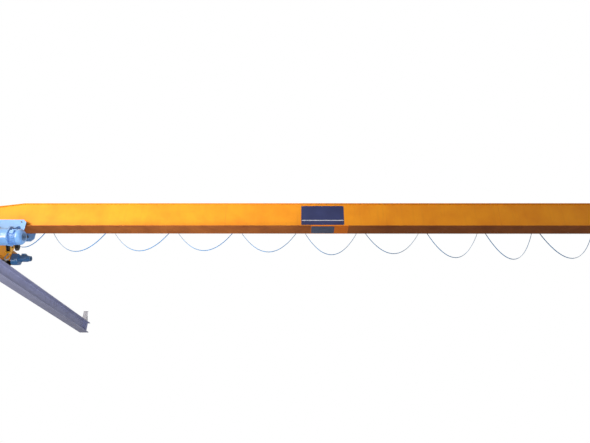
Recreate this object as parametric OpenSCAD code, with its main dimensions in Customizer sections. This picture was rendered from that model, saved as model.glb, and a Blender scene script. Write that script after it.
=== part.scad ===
// Overhead bridge crane: one box girder on two end carriages, an underslung wire rope hoist,
// a festoon cable behind the girder and one bay of runway under each end.
// X runs along the girder, Y along the runway and Z up. The origin lies midway between the
// runways, midway along the bay, at the level of the undersides of the runway beams.

/* [Runway] */
// Distance between the two crane rails
span = 17800; // [15000:100:20000]
// Length of the runway bay
bay_length = 9000; // [8000:100:12000]
// Depth of a runway beam
beam_depth = 340; // [320:10:600]
// Flange width of a runway beam
beam_width = 300; // [260:10:340]
// Flange thickness of a runway beam
beam_flange = 21; // [16:1:30]
// Web thickness of a runway beam
beam_web = 12; // [8:1:20]
// Radius of the fillet between web and flange
beam_fillet = 27; // [10:1:35]
// Height of a crane rail
rail_height = 55; // [50:1:75]
// Width of a crane rail's head
rail_head = 45; // [40:1:55]
// Width of a crane rail's foot
rail_foot = 125; // [110:1:150]
// Height of an end stop above the beam
stop_height = 370; // [330:10:420]
// Diameter of the bearing bolt holes
bearing_hole_d = 22; // [18:1:30]
// Bolt spacing across the beam
bearing_bolt_x = 150; // [120:5:200]
// Bolt spacing along the beam
bearing_bolt_y = 120; // [80:5:160]

/* [Bridge girder] */
// Position of the bridge along the runway
bridge_y = -2040; // [-2600:10:2600]
// Depth of the girder over both flanges
girder_depth = 620; // [560:10:700]
// Outer width of the box between the web faces
box_width = 272; // [240:2:300]
// Web plate thickness
web_plate = 6; // [5:1:12]
// Top flange width
top_flange_width = 332; // [310:2:360]
// Top flange thickness
top_flange_plate = 12; // [8:1:20]
// Bottom flange width
bottom_flange_width = 420; // [400:2:460]
// Bottom flange thickness
bottom_flange_plate = 14; // [10:1:20]
// Length of the sloping shoulder at each end
shoulder_length = 1000; // [600:50:1400]
// Drop of the top flange along the shoulder
shoulder_drop = 130; // [60:10:200]
// Spacing of the plates inside the box
diaphragm_pitch = 2000; // [1000:100:3000]
// Thickness of the saddle plate under each girder end
saddle_plate = 18; // [12:1:30]
// Length of the saddle plate along the carriage
saddle_length = 500; // [440:10:600]

/* [End carriages] */
// Distance from a wheel axle to the end of its carriage
carriage_overhang = 200; // [190:5:260]
// Height of an end carriage
carriage_height = 300; // [280:10:360]
// Width of an end carriage
carriage_width = 200; // [180:10:240]
// Plate thickness of an end carriage
carriage_plate = 8; // [6:1:12]
// Distance between the wheel axles of one carriage
wheel_base = 2500; // [2000:50:3000]
// Tread diameter of a bridge wheel
wheel_d = 250; // [220:10:280]
// Diameter over the flanges of a bridge wheel
wheel_flange_d = 280; // [260:5:310]
// Tread width of a bridge wheel
wheel_tread = 60; // [56:1:75]
// Thickness of one flange of a bridge wheel
wheel_flange = 12; // [10:1:16]
// Diameter of a wheel axle
axle_d = 60; // [50:1:70]
// Length of a buffer
buffer_length = 80; // [60:5:120]
// Diameter of a buffer
buffer_d = 80; // [60:5:100]

/* [Plates on the girder] */
// Distance of the sign and the plate from mid-span, towards the right
plates_x = -900; // [-1500:50:1500]
// Width of the sign on the front web
sign_width = 1000; // [600:50:1400]
// Height of the sign on the front web
sign_height = 500; // [300:10:540]
// Width of the plate under the girder
load_plate_width = 540; // [300:10:800]
// Depth of the plate under the girder
load_plate_depth = 380; // [200:10:400]
// Thickness of the sign and of the plate
plate_t = 3; // [2:1:6]

/* [Hoist] */
// Distance from the left rail to the middle of the parked hoist
park_distance = 750; // [740:10:2000]
// Diameter of a trolley wheel
trolley_wheel_d = 125; // [110:5:140]
// Distance between the trolley wheels
trolley_base = 520; // [440:10:560]
// Length of a trolley side plate
trolley_length = 740; // [700:10:800]
// Thickness of a trolley side plate
trolley_plate = 12; // [8:1:20]
// Diameter of a trolley tie bar
tie_d = 50; // [40:1:60]
// Outer diameter of the drum housing
housing_d = 400; // [360:10:420]
// Wall of the drum housing
housing_wall = 8; // [5:1:12]
// Length of the drum housing
housing_length = 560; // [500:10:600]
// Diameter of the rope drum
drum_d = 280; // [240:10:300]
// Diameter of the rope
rope_d = 9; // [7:1:12]
// Pitch of the rope grooves
groove_pitch = 14; // [12:1:20]
// Length of the gearbox
gearbox_length = 150; // [120:10:170]
// Length of the hoist motor with its round cap
motor_length = 290; // [220:10:320]
// Diameter of the hoist motor
motor_d = 360; // [280:10:380]
// Groove diameter of a rope sheave
sheave_d = 180; // [160:10:200]
// Thickness of a rope sheave
sheave_t = 34; // [28:1:40]
// Height of the hook block's sheave axle at rest
hook_axle_z = 340; // [335:5:360]
// Thickness of the hook
hook_d = 34; // [26:1:40]
// Inner radius of the hook's mouth
hook_mouth_r = 36; // [28:1:42]

/* [Festoon] */
// Distance from the girder's centre line to the festoon cable
festoon_reach = 400; // [390:5:460]
// Width and height of the C-shaped track
track_size = 40; // [36:1:50]
// Wall of the track
track_wall = 3; // [2:0.5:4]
// Width of the track's slot
track_slot = 12; // [10:1:16]
// Height of the track's underside above the girder's underside
track_rise = 267; // [240:1:320]
// Number of arms that carry the track
track_arms = 10; // [5:1:13]
// Outer radius of a cable saddle
saddle_r = 76; // [60:1:80]
// Width of a cable saddle
saddle_width = 60; // [44:2:80]
// Width of the flat cable
cable_width = 30; // [20:1:40]
// Thickness of the flat cable
cable_t = 8; // [6:1:12]

/* [Hidden] */
$fn = 48;
gap = 0.3;
fit_gap = 0.05;

rail_x = span / 2;
half_bay = bay_length / 2;
rail_base_z = beam_depth;
rail_top_z = beam_depth + rail_height;
stop_face = half_bay - 190;
stop_plate = 20;
bearing_inset = 120;
stiffener = 12;

axle_z = rail_top_z + gap + wheel_d / 2;
carriage_length = wheel_base + 2 * carriage_overhang;
carriage_z0 = axle_z - 45;
carriage_z1 = carriage_z0 + carriage_height;
girder_z0 = carriage_z1 + saddle_plate;
girder_z1 = girder_z0 + girder_depth;
ledge_z = girder_z0 + bottom_flange_plate;
girder_half = rail_x + 80;
shoulder_x = girder_half - shoulder_length;
buffer_z = carriage_z0 + carriage_height / 2;
boss_d = 120;
boss_t = 25;
drive_w = 240;
drive_h = 260;
drive_t = 170;
drive_motor_d = 150;
drive_motor_l = 230;
saddle_hole_d = 22;

park_x = park_distance - rail_x;
ledge_half = bottom_flange_width / 2;
trolley_wheel_z = ledge_z + gap + trolley_wheel_d / 2;
trolley_tread = 50;
trolley_flange = 10;
trolley_flange_gap = 6;
flange_inner = ledge_half + trolley_flange_gap;
plate_inner = flange_inner + trolley_flange + 14;
plate_outer = plate_inner + trolley_plate;
plate_z0 = girder_z0 - 193;
plate_z1 = trolley_wheel_z + 62;
tie_z = girder_z0 - 93;
tie_x = 190;
housing_r = housing_d / 2;
drum_y = -(plate_outer + 8 + housing_r);
drum_z = plate_z0 - 210;
housing_x0 = park_x - trolley_length / 2 + 60;
housing_x1 = housing_x0 + housing_length;
bracket_t = 14;
groove_margin = 60;
groove_count = floor((housing_length - 2 * groove_margin) / groove_pitch);
groove_first = (housing_length - (groove_count - 1) * groove_pitch) / 2;
lead_x = housing_x0 + groove_first + floor(groove_count / 2) * groove_pitch - park_x;
anchor_y = -plate_inner + 20;
anchor_z = plate_z0 + 6;
sheave_r = sheave_d / 2;
sheave_rim_r = sheave_r + 12;
sheave_x = 24;
cheek_t = 8;
cheek_x = sheave_x + sheave_t / 2 + 5;
return_y = plate_inner + 24;
return_z = plate_z0 - 125;
block_pin_d = 40;
crosshead_drop = 156;
crosshead_h = 36;
hook_top = hook_axle_z - crosshead_drop;
hook_neck = 6;
hook_bowl_z = hook_axle_z - 260;
hook_ring_r = hook_mouth_r + hook_d / 2;
hook_from = 125;
hook_to = 395;
hook_shank_share = 0.3;
panel_depth = 100;
panel_inset = 1030;
panel_w = 600;

track_z0 = girder_z0 + track_rise;
track_z1 = track_z0 + track_size;
track_x0 = -rail_x + 190;
track_x1 = rail_x - 140;
tow_x = -rail_x + 300;
feed_x = rail_x - 400;
saddle_top_z = track_z0 - 68;
saddle_z = saddle_top_z - saddle_r;
saddle_plate_t = 6;
end_clamp_z = saddle_z + 50;
end_clamp = 40;

// Place of each cable carrier between the tow clamp and the feed clamp
carrier_share = [0.0617, 0.1494, 0.2398, 0.3302, 0.4205, 0.5055, 0.5932, 0.6755, 0.7516,
    0.8366, 0.9190];
// Lowest height of each cable loop, from the left
loop_low = [520, 410, 425, 435, 400, 330, 360, 260, 220, 245, 290, 420];
// Angle at which the cable leaves a saddle, and the cable's bend over it in three chords
leave_angle = 58;
bend_angles = [-leave_angle, -leave_angle / 3, leave_angle / 3, leave_angle];
bend_r = (saddle_r + cable_t / 2 + gap) / cos(leave_angle / 3);

function carrier_x(i) = tow_x + carrier_share[i] * (feed_x - tow_x);

// A box with one corner at p and size s
module block(p, s) {
    translate(p) cube(s);
}

// A cylinder along X from x0 to x1 through y and z
module rod_x(x0, x1, y, z, d) {
    translate([x0, y, z]) rotate([0, 90, 0]) cylinder(d = d, h = x1 - x0);
}

// A cylinder along Y from y0 to y1 through x and z
module rod_y(x, y0, y1, z, d) {
    translate([x, y1, z]) rotate([90, 0, 0]) cylinder(d = d, h = y1 - y0);
}

// A profile in the XZ plane, extruded from y0 to y1
module slab_y(y0, y1) {
    translate([0, y1, 0]) rotate([90, 0, 0]) linear_extrude(y1 - y0) children();
}

// A profile in the YZ plane, extruded from x0 to x1
module slab_x(x0, x1) {
    translate([x0, 0, 0]) rotate([90, 0, 90]) linear_extrude(x1 - x0) children();
}

// Quarter fillet with its square corner at the origin
module fillet_2d(r) {
    difference() {
        square(r);
        translate([r, r]) circle(r = r);
    }
}

// Section of a runway beam, standing on y = 0
module beam_section() {
    half = beam_width / 2;
    translate([-half, 0]) square([beam_width, beam_flange]);
    translate([-half, beam_depth - beam_flange]) square([beam_width, beam_flange]);
    translate([-beam_web / 2, 0]) square([beam_web, beam_depth]);
    for (side = [0, 1], end = [0, 1])
        mirror([side, 0])
            translate([beam_web / 2, end == 0 ? beam_flange : beam_depth - beam_flange])
                mirror([0, end])
                    fillet_2d(beam_fillet);
}

module runway_beam(x) {
    difference() {
        union() {
            translate([x, half_bay, 0]) rotate([90, 0, 0])
                linear_extrude(bay_length) beam_section();
            for (side = [-1, 1], end = [-1, 1])
                block([x + (side > 0 ? beam_web / 2 : -beam_width / 2 + 5),
                        end * (half_bay - bearing_inset - bearing_bolt_y / 2) - stiffener / 2,
                        beam_flange],
                    [beam_width / 2 - beam_web / 2 - 5, stiffener,
                        beam_depth - 2 * beam_flange]);
        }
        for (end = [-1, 1], i = [-1, 1], j = [-1, 1])
            translate([x + i * bearing_bolt_x / 2,
                    end * (half_bay - bearing_inset - bearing_bolt_y / 2)
                        + j * bearing_bolt_y / 2, -1])
                cylinder(d = bearing_hole_d, h = beam_flange + 2);
    }
}

// Half of a crane rail's section: foot, web and head
module rail_section() {
    foot = rail_foot / 2;
    head = rail_head / 2;
    web = rail_head * 0.27;
    outline = [[foot, 0], [foot, 7], [web + 8, 14], [web, 20],
        [web, rail_height - 24], [head, rail_height - 19], [head, rail_height - 3],
        [head - 3, rail_height]];
    polygon(concat(outline, [for (i = [len(outline) - 1:-1:0]) [-outline[i][0], outline[i][1]]]));
}

module rail(x) {
    translate([x, stop_face - 10, rail_base_z]) rotate([90, 0, 0])
        linear_extrude(2 * (stop_face - 10)) rail_section();
}

module runway_beam_left() {
    color("#9aa3c4") runway_beam(-rail_x);
}

module runway_beam_right() {
    color("#9aa3c4") runway_beam(rail_x);
}

module rail_left() {
    color("#6b6a6c") rail(-rail_x);
}

module rail_right() {
    color("#6b6a6c") rail(rail_x);
}

// One end stop: a striker plate with two sloping ribs, standing on the beam
module end_stop() {
    depth = half_bay - stop_face - 20;
    block([-90, 0, 0], [180, depth, 16]);
    block([-75, 0, 16], [150, stop_plate, stop_height - 16]);
    for (x = [-60, 45])
        slab_x(x, x + 15)
            polygon([[stop_plate, 16], [depth, 16], [depth, 40],
                [stop_plate, stop_height - 30]]);
}

module runway_end_stops() {
    color("#c77a1c")
        for (side = [-1, 1], end = [0, 1])
            translate([side * rail_x, 0, rail_base_z]) mirror([0, end])
                translate([0, stop_face, 0]) end_stop();
}

// Height of the top flange's upper side at x, with its sloping shoulders
function top_z(x) =
    girder_z1 - max(0, (abs(x) - shoulder_x) / shoulder_length) * shoulder_drop;

module girder_top_flange() {
    t = top_flange_plate;
    xs = [-girder_half, -shoulder_x, shoulder_x, girder_half];
    color("#e0921f")
        slab_y(bridge_y - top_flange_width / 2, bridge_y + top_flange_width / 2)
            polygon(concat([for (x = xs) [x, top_z(x)]],
                [for (i = [3:-1:0]) [xs[i], top_z(xs[i]) - t]]));
}

// One web plate between the flanges, from y to y + web_plate
module web(y) {
    t = top_flange_plate;
    xs = [-girder_half, -shoulder_x, shoulder_x, girder_half];
    slab_y(y, y + web_plate)
        polygon(concat([[-girder_half, ledge_z]], [for (x = xs) [x, top_z(x) - t]],
            [[girder_half, ledge_z]]));
}

module girder_front_web() {
    color("#f2a435") web(bridge_y - box_width / 2);
}

module girder_rear_web() {
    color("#f2a435") web(bridge_y + box_width / 2 - web_plate);
}

module girder_bottom_flange() {
    color("#b5701c")
        block([-girder_half, bridge_y - ledge_half, girder_z0],
            [2 * girder_half, bottom_flange_width, bottom_flange_plate]);
}

// Plates across the inside of the box, with the two end plates that close it
module girder_diaphragms() {
    inner = box_width - 2 * web_plate;
    count = floor(shoulder_x / diaphragm_pitch);
    color("#d98a1d") {
        for (i = [-count:count])
            difference() {
                block([i * diaphragm_pitch - 3, bridge_y - inner / 2, ledge_z],
                    [6, inner, girder_z1 - top_flange_plate - ledge_z]);
                rod_x(i * diaphragm_pitch - 4, i * diaphragm_pitch + 4, bridge_y,
                    (ledge_z + girder_z1) / 2, inner * 0.6);
            }
        for (side = [-1, 1])
            block([side * (girder_half - 20) - 4, bridge_y - inner / 2, ledge_z],
                [8, inner, top_z(girder_half - 16) - top_flange_plate - ledge_z]);
    }
}

module saddle_plates() {
    color("#b5701c")
        for (side = [-1, 1])
            difference() {
                block([side * rail_x - carriage_width / 2 + 10, bridge_y - saddle_length / 2,
                        carriage_z1],
                    [carriage_width - 20, saddle_length, saddle_plate]);
                for (i = [-1, 1], j = [-1, 1])
                    translate([side * rail_x + i * carriage_width * 0.3,
                            bridge_y + j * (saddle_length / 2 - 20), carriage_z1 - 1])
                        cylinder(d = saddle_hole_d, h = saddle_plate + 2);
            }
}

// One end carriage: a box with wheel bays open below, bearing bosses and end plates
module end_carriage(x) {
    w = carriage_width;
    t = carriage_plate;
    bay = wheel_flange_d + 60;
    difference() {
        union() {
            block([x - w / 2, bridge_y - carriage_length / 2, carriage_z0],
                [w, carriage_length, carriage_height]);
            for (end = [-1, 1])
                rod_x(x - w / 2 - boss_t, x + w / 2 + boss_t,
                    bridge_y + end * wheel_base / 2, axle_z, boss_d);
        }
        block([x - w / 2 + t, bridge_y - carriage_length / 2 + t, carriage_z0 + t],
            [w - 2 * t, carriage_length - 2 * t, carriage_height - 2 * t]);
        for (end = [-1, 1]) {
            y = bridge_y + end * wheel_base / 2;
            block([x - w / 2 + t, y - bay / 2, carriage_z0 - boss_d],
                [w - 2 * t, bay, boss_d + 2 * t]);
            rod_x(x - w, x + w, y, axle_z, axle_d + 2 * fit_gap);
        }
    }
}

module end_carriage_left() {
    color("#e0921f") end_carriage(-rail_x);
}

module end_carriage_right() {
    color("#e0921f") end_carriage(rail_x);
}

// A flanged wheel on its axle, turned about X
module bridge_wheel() {
    half = wheel_tread / 2;
    reach = carriage_width / 2 + boss_t;
    rotate([0, 90, 0]) rotate_extrude($fn = 64)
        polygon([[0, -reach], [axle_d / 2, -reach], [axle_d / 2, -half - wheel_flange],
            [axle_d / 2 + 25, -half - wheel_flange], [axle_d / 2 + 25, -14],
            [wheel_d / 2 - 25, -14], [wheel_d / 2 - 25, -half - wheel_flange],
            [wheel_flange_d / 2 - 4, -half - wheel_flange], [wheel_flange_d / 2, -half - 8],
            [wheel_d / 2, -half], [wheel_d / 2, half], [wheel_flange_d / 2, half + 8],
            [wheel_flange_d / 2 - 4, half + wheel_flange],
            [wheel_d / 2 - 25, half + wheel_flange], [wheel_d / 2 - 25, 14],
            [axle_d / 2 + 25, 14], [axle_d / 2 + 25, half + wheel_flange],
            [axle_d / 2, half + wheel_flange], [axle_d / 2, reach], [0, reach]]);
}

module bridge_wheels() {
    color("#5d5a58")
        for (side = [-1, 1], end = [-1, 1])
            translate([side * rail_x, bridge_y + end * wheel_base / 2, axle_z])
                bridge_wheel();
}

// A travel gearmotor on the inner side of a carriage: gear case, motor and fan cover
module travel_drive() {
    face = carriage_width / 2 + boss_t;
    difference() {
        translate([face, 0, axle_z]) rotate([90, 0, 90]) linear_extrude(drive_t) {
            circle(d = drive_w);
            translate([-drive_w / 2, 0]) square([drive_w, drive_h - drive_w / 2]);
        }
        rod_x(face - 1, face + 30, 0, axle_z, axle_d + 20);
    }
    rod_x(face + drive_t, face + drive_t + drive_motor_l, 0, axle_z + 50, drive_motor_d);
    rod_x(face + drive_t + drive_motor_l, face + drive_t + drive_motor_l + 50, 0,
        axle_z + 50, drive_motor_d - 16);
    for (a = [0:30:330])
        translate([0, 0, axle_z + 50]) rotate([a, 0, 0])
            block([face + drive_t + 20, -3, drive_motor_d / 2 - 3],
                [drive_motor_l - 40, 6, 11]);
}

module travel_drives() {
    color("#4f7fae")
        for (side = [0, 1])
            mirror([side, 0])
                translate([-rail_x, bridge_y + wheel_base / 2, 0]) travel_drive();
}

module carriage_buffers() {
    color("#2c2c2e")
        for (side = [-1, 1], end = [-1, 1])
            translate([side * rail_x, bridge_y + end * carriage_length / 2, buffer_z])
                rotate([-90 * end, 0, 0]) {
                    cylinder(d = buffer_d, h = buffer_length * 0.7);
                    translate([0, 0, buffer_length * 0.7])
                        cylinder(d1 = buffer_d, d2 = buffer_d * 0.7, h = buffer_length * 0.3);
                }
}

// Stops on both ledges at each end of the trolley's path
module trolley_stops() {
    color("#c77a1c")
        for (side = [-1, 1], edge = [-1, 1])
            translate([side * (rail_x - 320), bridge_y + edge * (ledge_half + box_width / 2) / 2,
                    ledge_z]) {
                block([-20, -25, 0], [40, 50, 10]);
                block([-8, -25, 10], [16, 50, 80]);
            }
}

module sign_plate() {
    z = ledge_z + (girder_z1 - top_flange_plate - ledge_z - sign_height) / 2;
    color("#2f3a66")
        block([plates_x - sign_width / 2, bridge_y - box_width / 2 - plate_t, z],
            [sign_width, plate_t, sign_height]);
}

module load_plate() {
    r = 30;
    w = load_plate_width - 2 * r;
    d = load_plate_depth - 2 * r;
    color("#4a5570")
        translate([plates_x, bridge_y, girder_z0 - plate_t]) linear_extrude(plate_t) {
            square([w, load_plate_depth], center = true);
            square([load_plate_width, d], center = true);
            for (i = [-1, 1], j = [-1, 1])
                translate([i * w / 2, j * d / 2]) circle(r = r);
        }
}

// Section of the C-shaped track in the YZ plane, open below
module track_section() {
    difference() {
        translate([-track_size / 2, 0]) square(track_size);
        translate([-track_size / 2 + track_wall, track_wall])
            square(track_size - 2 * track_wall);
        translate([-track_slot / 2, -1]) square([track_slot, track_wall + 2]);
    }
}

module festoon_track() {
    color("#8d9296")
        slab_x(track_x0, track_x1)
            translate([bridge_y + festoon_reach, track_z0]) track_section();
}

// Arms from the rear web to the top of the track: an angle with a foot on the web
module festoon_arms() {
    root = box_width / 2;
    reach = festoon_reach + track_size / 2 + 10 - root;
    pitch = (track_x1 - track_x0 - 400) / (track_arms - 1);
    color("#c98420")
        for (i = [0:track_arms - 1])
            translate([track_x0 + 200 + i * pitch, bridge_y + root, track_z1]) {
                block([-25, 0, 0], [50, reach, 5]);
                block([-25, 0, 5], [5, reach, 45]);
                block([-45, 0, -60], [90, 6, 160]);
            }
}

module feed_box() {
    y = bridge_y + festoon_reach;
    x0 = feed_x + end_clamp;
    color("#9a9ea2") {
        block([x0, y - 75, end_clamp_z - 90], [track_x1 - x0, 150, track_z0 - end_clamp_z + 90]);
        block([feed_x, y - cable_width / 2 - 8, end_clamp_z - cable_t / 2 - 8],
            [end_clamp, cable_width + 16, cable_t + 16]);
    }
}

module control_panel() {
    y = bridge_y + box_width / 2;
    x0 = shoulder_x - panel_inset;
    color("#b9bcbf") {
        block([x0, y + 6, ledge_z + 90], [panel_w, 180, 280]);
        for (dx = [60, panel_w - 100])
            block([x0 + dx, y, ledge_z + 60], [40, 6, 340]);
        block([x0 + 15, y + 186, ledge_z + 105], [panel_w - 30, 4, 250]);
    }
}

// Outline of a trolley side plate in the XZ plane, about the hoist's middle
module trolley_side(y) {
    half = trolley_length / 2;
    cut = 70;
    difference() {
        slab_y(y, y + trolley_plate)
            translate([park_x, 0])
                polygon([[-half, plate_z0 + cut], [-half + cut, plate_z0],
                    [half - cut, plate_z0], [half, plate_z0 + cut], [half, plate_z1 - cut],
                    [half - cut, plate_z1], [-half + cut, plate_z1], [-half, plate_z1 - cut]]);
        for (i = [-1, 1]) {
            rod_y(park_x + i * trolley_base / 2, y - 1, y + trolley_plate + 1,
                trolley_wheel_z, 30 + 2 * fit_gap);
            rod_y(park_x + i * tie_x, y - 1, y + trolley_plate + 1, tie_z,
                tie_d + 2 * fit_gap);
        }
    }
}

module trolley_side_plates() {
    color("#4f86c6") {
        trolley_side(bridge_y - plate_outer);
        block([park_x + sheave_x - 18, bridge_y - plate_inner, anchor_z],
            [36, 36, 40]);
        trolley_side(bridge_y + plate_inner);
    }
}

// A trolley wheel with its outer flange and axle, turned about Y, seated on the ledge
module trolley_wheel() {
    r = trolley_wheel_d / 2;
    inner = flange_inner - trolley_tread - trolley_flange_gap;
    rotate([-90, 0, 0]) rotate_extrude()
        polygon([[0, inner], [r - 3, inner], [r, inner + 3], [r, flange_inner],
            [r + 12, flange_inner], [r + 12, flange_inner + trolley_flange],
            [28, flange_inner + trolley_flange], [28, plate_inner], [15, plate_inner],
            [15, plate_outer + 12], [0, plate_outer + 12]]);
}

module trolley_wheels() {
    color("#5d5a58")
        for (i = [-1, 1], side = [0, 1])
            translate([park_x + i * trolley_base / 2, bridge_y, trolley_wheel_z])
                mirror([0, side]) trolley_wheel();
}

module trolley_tie_bars() {
    color("#7d8084")
        for (i = [-1, 1]) {
            rod_y(park_x + i * tie_x, bridge_y - plate_outer - 18, bridge_y + plate_outer + 18,
                tie_z, tie_d);
            for (side = [-1, 1])
                rod_y(park_x + i * tie_x, bridge_y + side * (plate_inner - 10) - 10,
                    bridge_y + side * (plate_inner - 10) + 10, tie_z, tie_d + 26);
        }
}

// Clamp plates that hang the drum housing from the front side plate
module drum_brackets() {
    y = bridge_y + drum_y;
    foot = bridge_y - plate_outer;
    color("#4f86c6")
        for (x = [housing_x0 + 10, housing_x1 - 10 - bracket_t])
            difference() {
                slab_x(x, x + bracket_t)
                    polygon([[foot, plate_z0 + 10], [foot, plate_z0 + 170],
                        [y + 40, drum_z + housing_r + 40], [y - 60, drum_z + housing_r + 40],
                        [y - 140, drum_z + housing_r - 20], [y - 120, drum_z],
                        [foot - 6, drum_z + 60]]);
                rod_x(x - 1, x + bracket_t + 1, y, drum_z, housing_d + 2 * gap);
            }
}

// The drum housing: a tube, open towards the hook where the rope leaves
module drum_housing() {
    y = bridge_y + drum_y;
    color("#4f86c6")
        difference() {
            rod_x(housing_x0, housing_x1, y, drum_z, housing_d);
            rod_x(housing_x0 - 1, housing_x1 + 1, y, drum_z, housing_d - 2 * housing_wall);
            block([housing_x0 + groove_margin, y + 20, drum_z - housing_r],
                [housing_length - 2 * groove_margin, housing_r, housing_d]);
        }
}

// The drum, with rope grooves cut round it
module rope_drum() {
    color("#77797c")
        translate([housing_x0, bridge_y + drum_y, drum_z]) rotate([0, 90, 0])
            difference() {
                cylinder(d = drum_d, h = housing_length);
                for (i = [0:groove_count - 1])
                    translate([0, 0, groove_first + i * groove_pitch])
                        rotate_extrude() translate([drum_d / 2, 0]) circle(d = rope_d + 1);
            }
}

module hoist_gearbox() {
    y = bridge_y + drum_y;
    r = housing_r + 12;
    color("#5f8fc8") {
        rod_x(housing_x0 - 20, housing_x0, y, drum_z, 2 * r);
        slab_x(housing_x0 - gearbox_length, housing_x0 - 20)
            translate([y, drum_z]) {
                circle(r = r - 20);
                translate([0, 0]) square(r - 20);
                translate([-r * 0.62, 0]) square([r * 0.62, r * 0.9]);
            }
    }
}

// The hoist motor, with a flange, a ribbed barrel and a round cap
module hoist_motor() {
    r = motor_d / 2;
    cap = 90;
    barrel = motor_length - cap;
    color("#cfe3f5")
        translate([housing_x1, bridge_y + drum_y, drum_z]) rotate([0, 90, 0])
            rotate_extrude($fn = 64)
                union() {
                    square([housing_r + 12, 16]);
                    square([r, barrel]);
                    translate([0, barrel]) intersection() {
                        square([r, cap]);
                        union() {
                            square([r - cap, cap]);
                            translate([r - cap, 0]) circle(r = cap);
                        }
                    }
                }
}

// A grooved rope sheave about the X axis, with its bore
module sheave(bore) {
    half = sheave_t / 2;
    rotate([0, 90, 0]) rotate_extrude($fn = 64)
        polygon([[bore / 2, -half], [bore / 2 + 22, -half], [bore / 2 + 22, -7],
            [sheave_r - 16, -7], [sheave_r - 16, -half + 3], [sheave_rim_r, -half + 3],
            [sheave_r, -rope_d / 2], [sheave_r, rope_d / 2], [sheave_rim_r, half - 3],
            [sheave_r - 16, half - 3], [sheave_r - 16, 7], [bore / 2 + 22, 7],
            [bore / 2 + 22, half], [bore / 2, half]]);
}

// The return sheave between two hangers under the rear side plate
module return_sheave() {
    y = bridge_y + return_y;
    pin = 36;
    color("#6c8fb8") {
        for (side = [-1, 1])
            difference() {
                slab_x(park_x + side * 32 - 6, park_x + side * 32 + 6)
                    polygon([[bridge_y + plate_inner, plate_z0],
                        [y - 45, return_z], [y - 20, return_z - 45],
                        [y + 20, return_z - 45], [y + 45, return_z],
                        [bridge_y + plate_outer + 40, plate_z0 + 60],
                        [bridge_y + plate_outer, plate_z0 + 60],
                        [bridge_y + plate_outer, plate_z0]]);
                rod_x(park_x - 60, park_x + 60, y, return_z, pin + 2 * fit_gap);
            }
        translate([park_x, y, return_z]) {
            sheave(pin);
            rod_x(-46, 46, 0, 0, pin);
        }
    }
}

module hoist_control_box() {
    y = bridge_y + plate_outer;
    color("#dfe6ec") {
        block([park_x - 225, y, tie_z + tie_d], [450, panel_depth, 170]);
        block([park_x - 212, y + panel_depth, tie_z + tie_d + 14], [424, 4, 142]);
    }
}

// The arm that tows the cable: out from the rear side plate, with a cable clamp at its end
module tow_arm() {
    y = bridge_y + plate_outer;
    tip = bridge_y + festoon_reach;
    top = end_clamp_z - cable_t / 2 - 8;
    leg_x = park_x - trolley_length / 2 + 20;
    color("#7d8084") {
        block([leg_x, y, plate_z1 - 150], [45, 6, top - plate_z1 + 150]);
        block([tow_x - end_clamp, y, top - 50], [leg_x - tow_x + end_clamp, 6, 50]);
        block([tow_x - end_clamp, y + 6, top - 50], [end_clamp, tip - y + 14, 50]);
        block([tow_x - end_clamp, tip - cable_width / 2 - 8, top],
            [end_clamp, cable_width + 16, cable_t + 16]);
    }
}

// Rope centre radii on the drum and on a sheave
rope_on_drum = drum_d / 2;
rope_on_sheave = sheave_r + rope_d / 2 + gap;

// Ends of a straight rope from the upper side of circle c1 to the lower side of circle c2.
// Centres are [y, z]. The rope runs down to the right where c2 lies to the right.
function crossing_rope(c1, r1, c2, r2) =
    let (d = c2 - c1,
        way = atan2(d[1], d[0]) - asin((r1 + r2) / norm(d)),
        n = [cos(way + 90), sin(way + 90)])
    [c1 + r1 * n, c2 - r2 * n];

// The same for a circle on the other side, mirrored
function mirrored(p) = [-p[0], p[1]];
function crossing_rope_back(c1, r1, c2, r2) =
    [for (p = crossing_rope(mirrored(c1), r1, mirrored(c2), r2)) mirrored(p)];

// Ends of a straight rope that touches the lower sides of two equal circles
function lower_rope(c1, c2, r) =
    let (d = c2 - c1, way = atan2(d[1], d[0]), n = [cos(way + 90), sin(way + 90)])
    [c1 + r * n, c2 + r * n];

// Straight rope from a to b, as [x, y, z] about the girder's centre line
module rope(a, b) {
    d = b - a;
    translate([park_x, bridge_y, 0] + a)
        rotate([0, acos(d[2] / norm(d)), atan2(d[1], d[0])])
            cylinder(d = rope_d, h = norm(d), $fn = 16);
}

// The rope's four falls: drum, block, return sheave, block and anchor
module rope_falls() {
    block_c = [0, hook_axle_z];
    back_c = [return_y, return_z];
    lead = crossing_rope([drum_y, drum_z], rope_on_drum, block_c, rope_on_sheave);
    up = crossing_rope_back(back_c, rope_on_sheave, block_c, rope_on_sheave);
    down = lower_rope(back_c, block_c, rope_on_sheave);
    last = crossing_rope([anchor_y, anchor_z - gap - rope_d * 0.2], 0, block_c, rope_on_sheave);
    color("#8b8c8e") {
        rope([lead_x, lead[0][0], lead[0][1]], [-sheave_x, lead[1][0], lead[1][1]]);
        rope([0, up[0][0], up[0][1]], [-sheave_x, up[1][0], up[1][1]]);
        rope([0, down[0][0], down[0][1]], [sheave_x, down[1][0], down[1][1]]);
        rope([sheave_x, last[0][0], last[0][1]], [sheave_x, last[1][0], last[1][1]]);
    }
}

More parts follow.
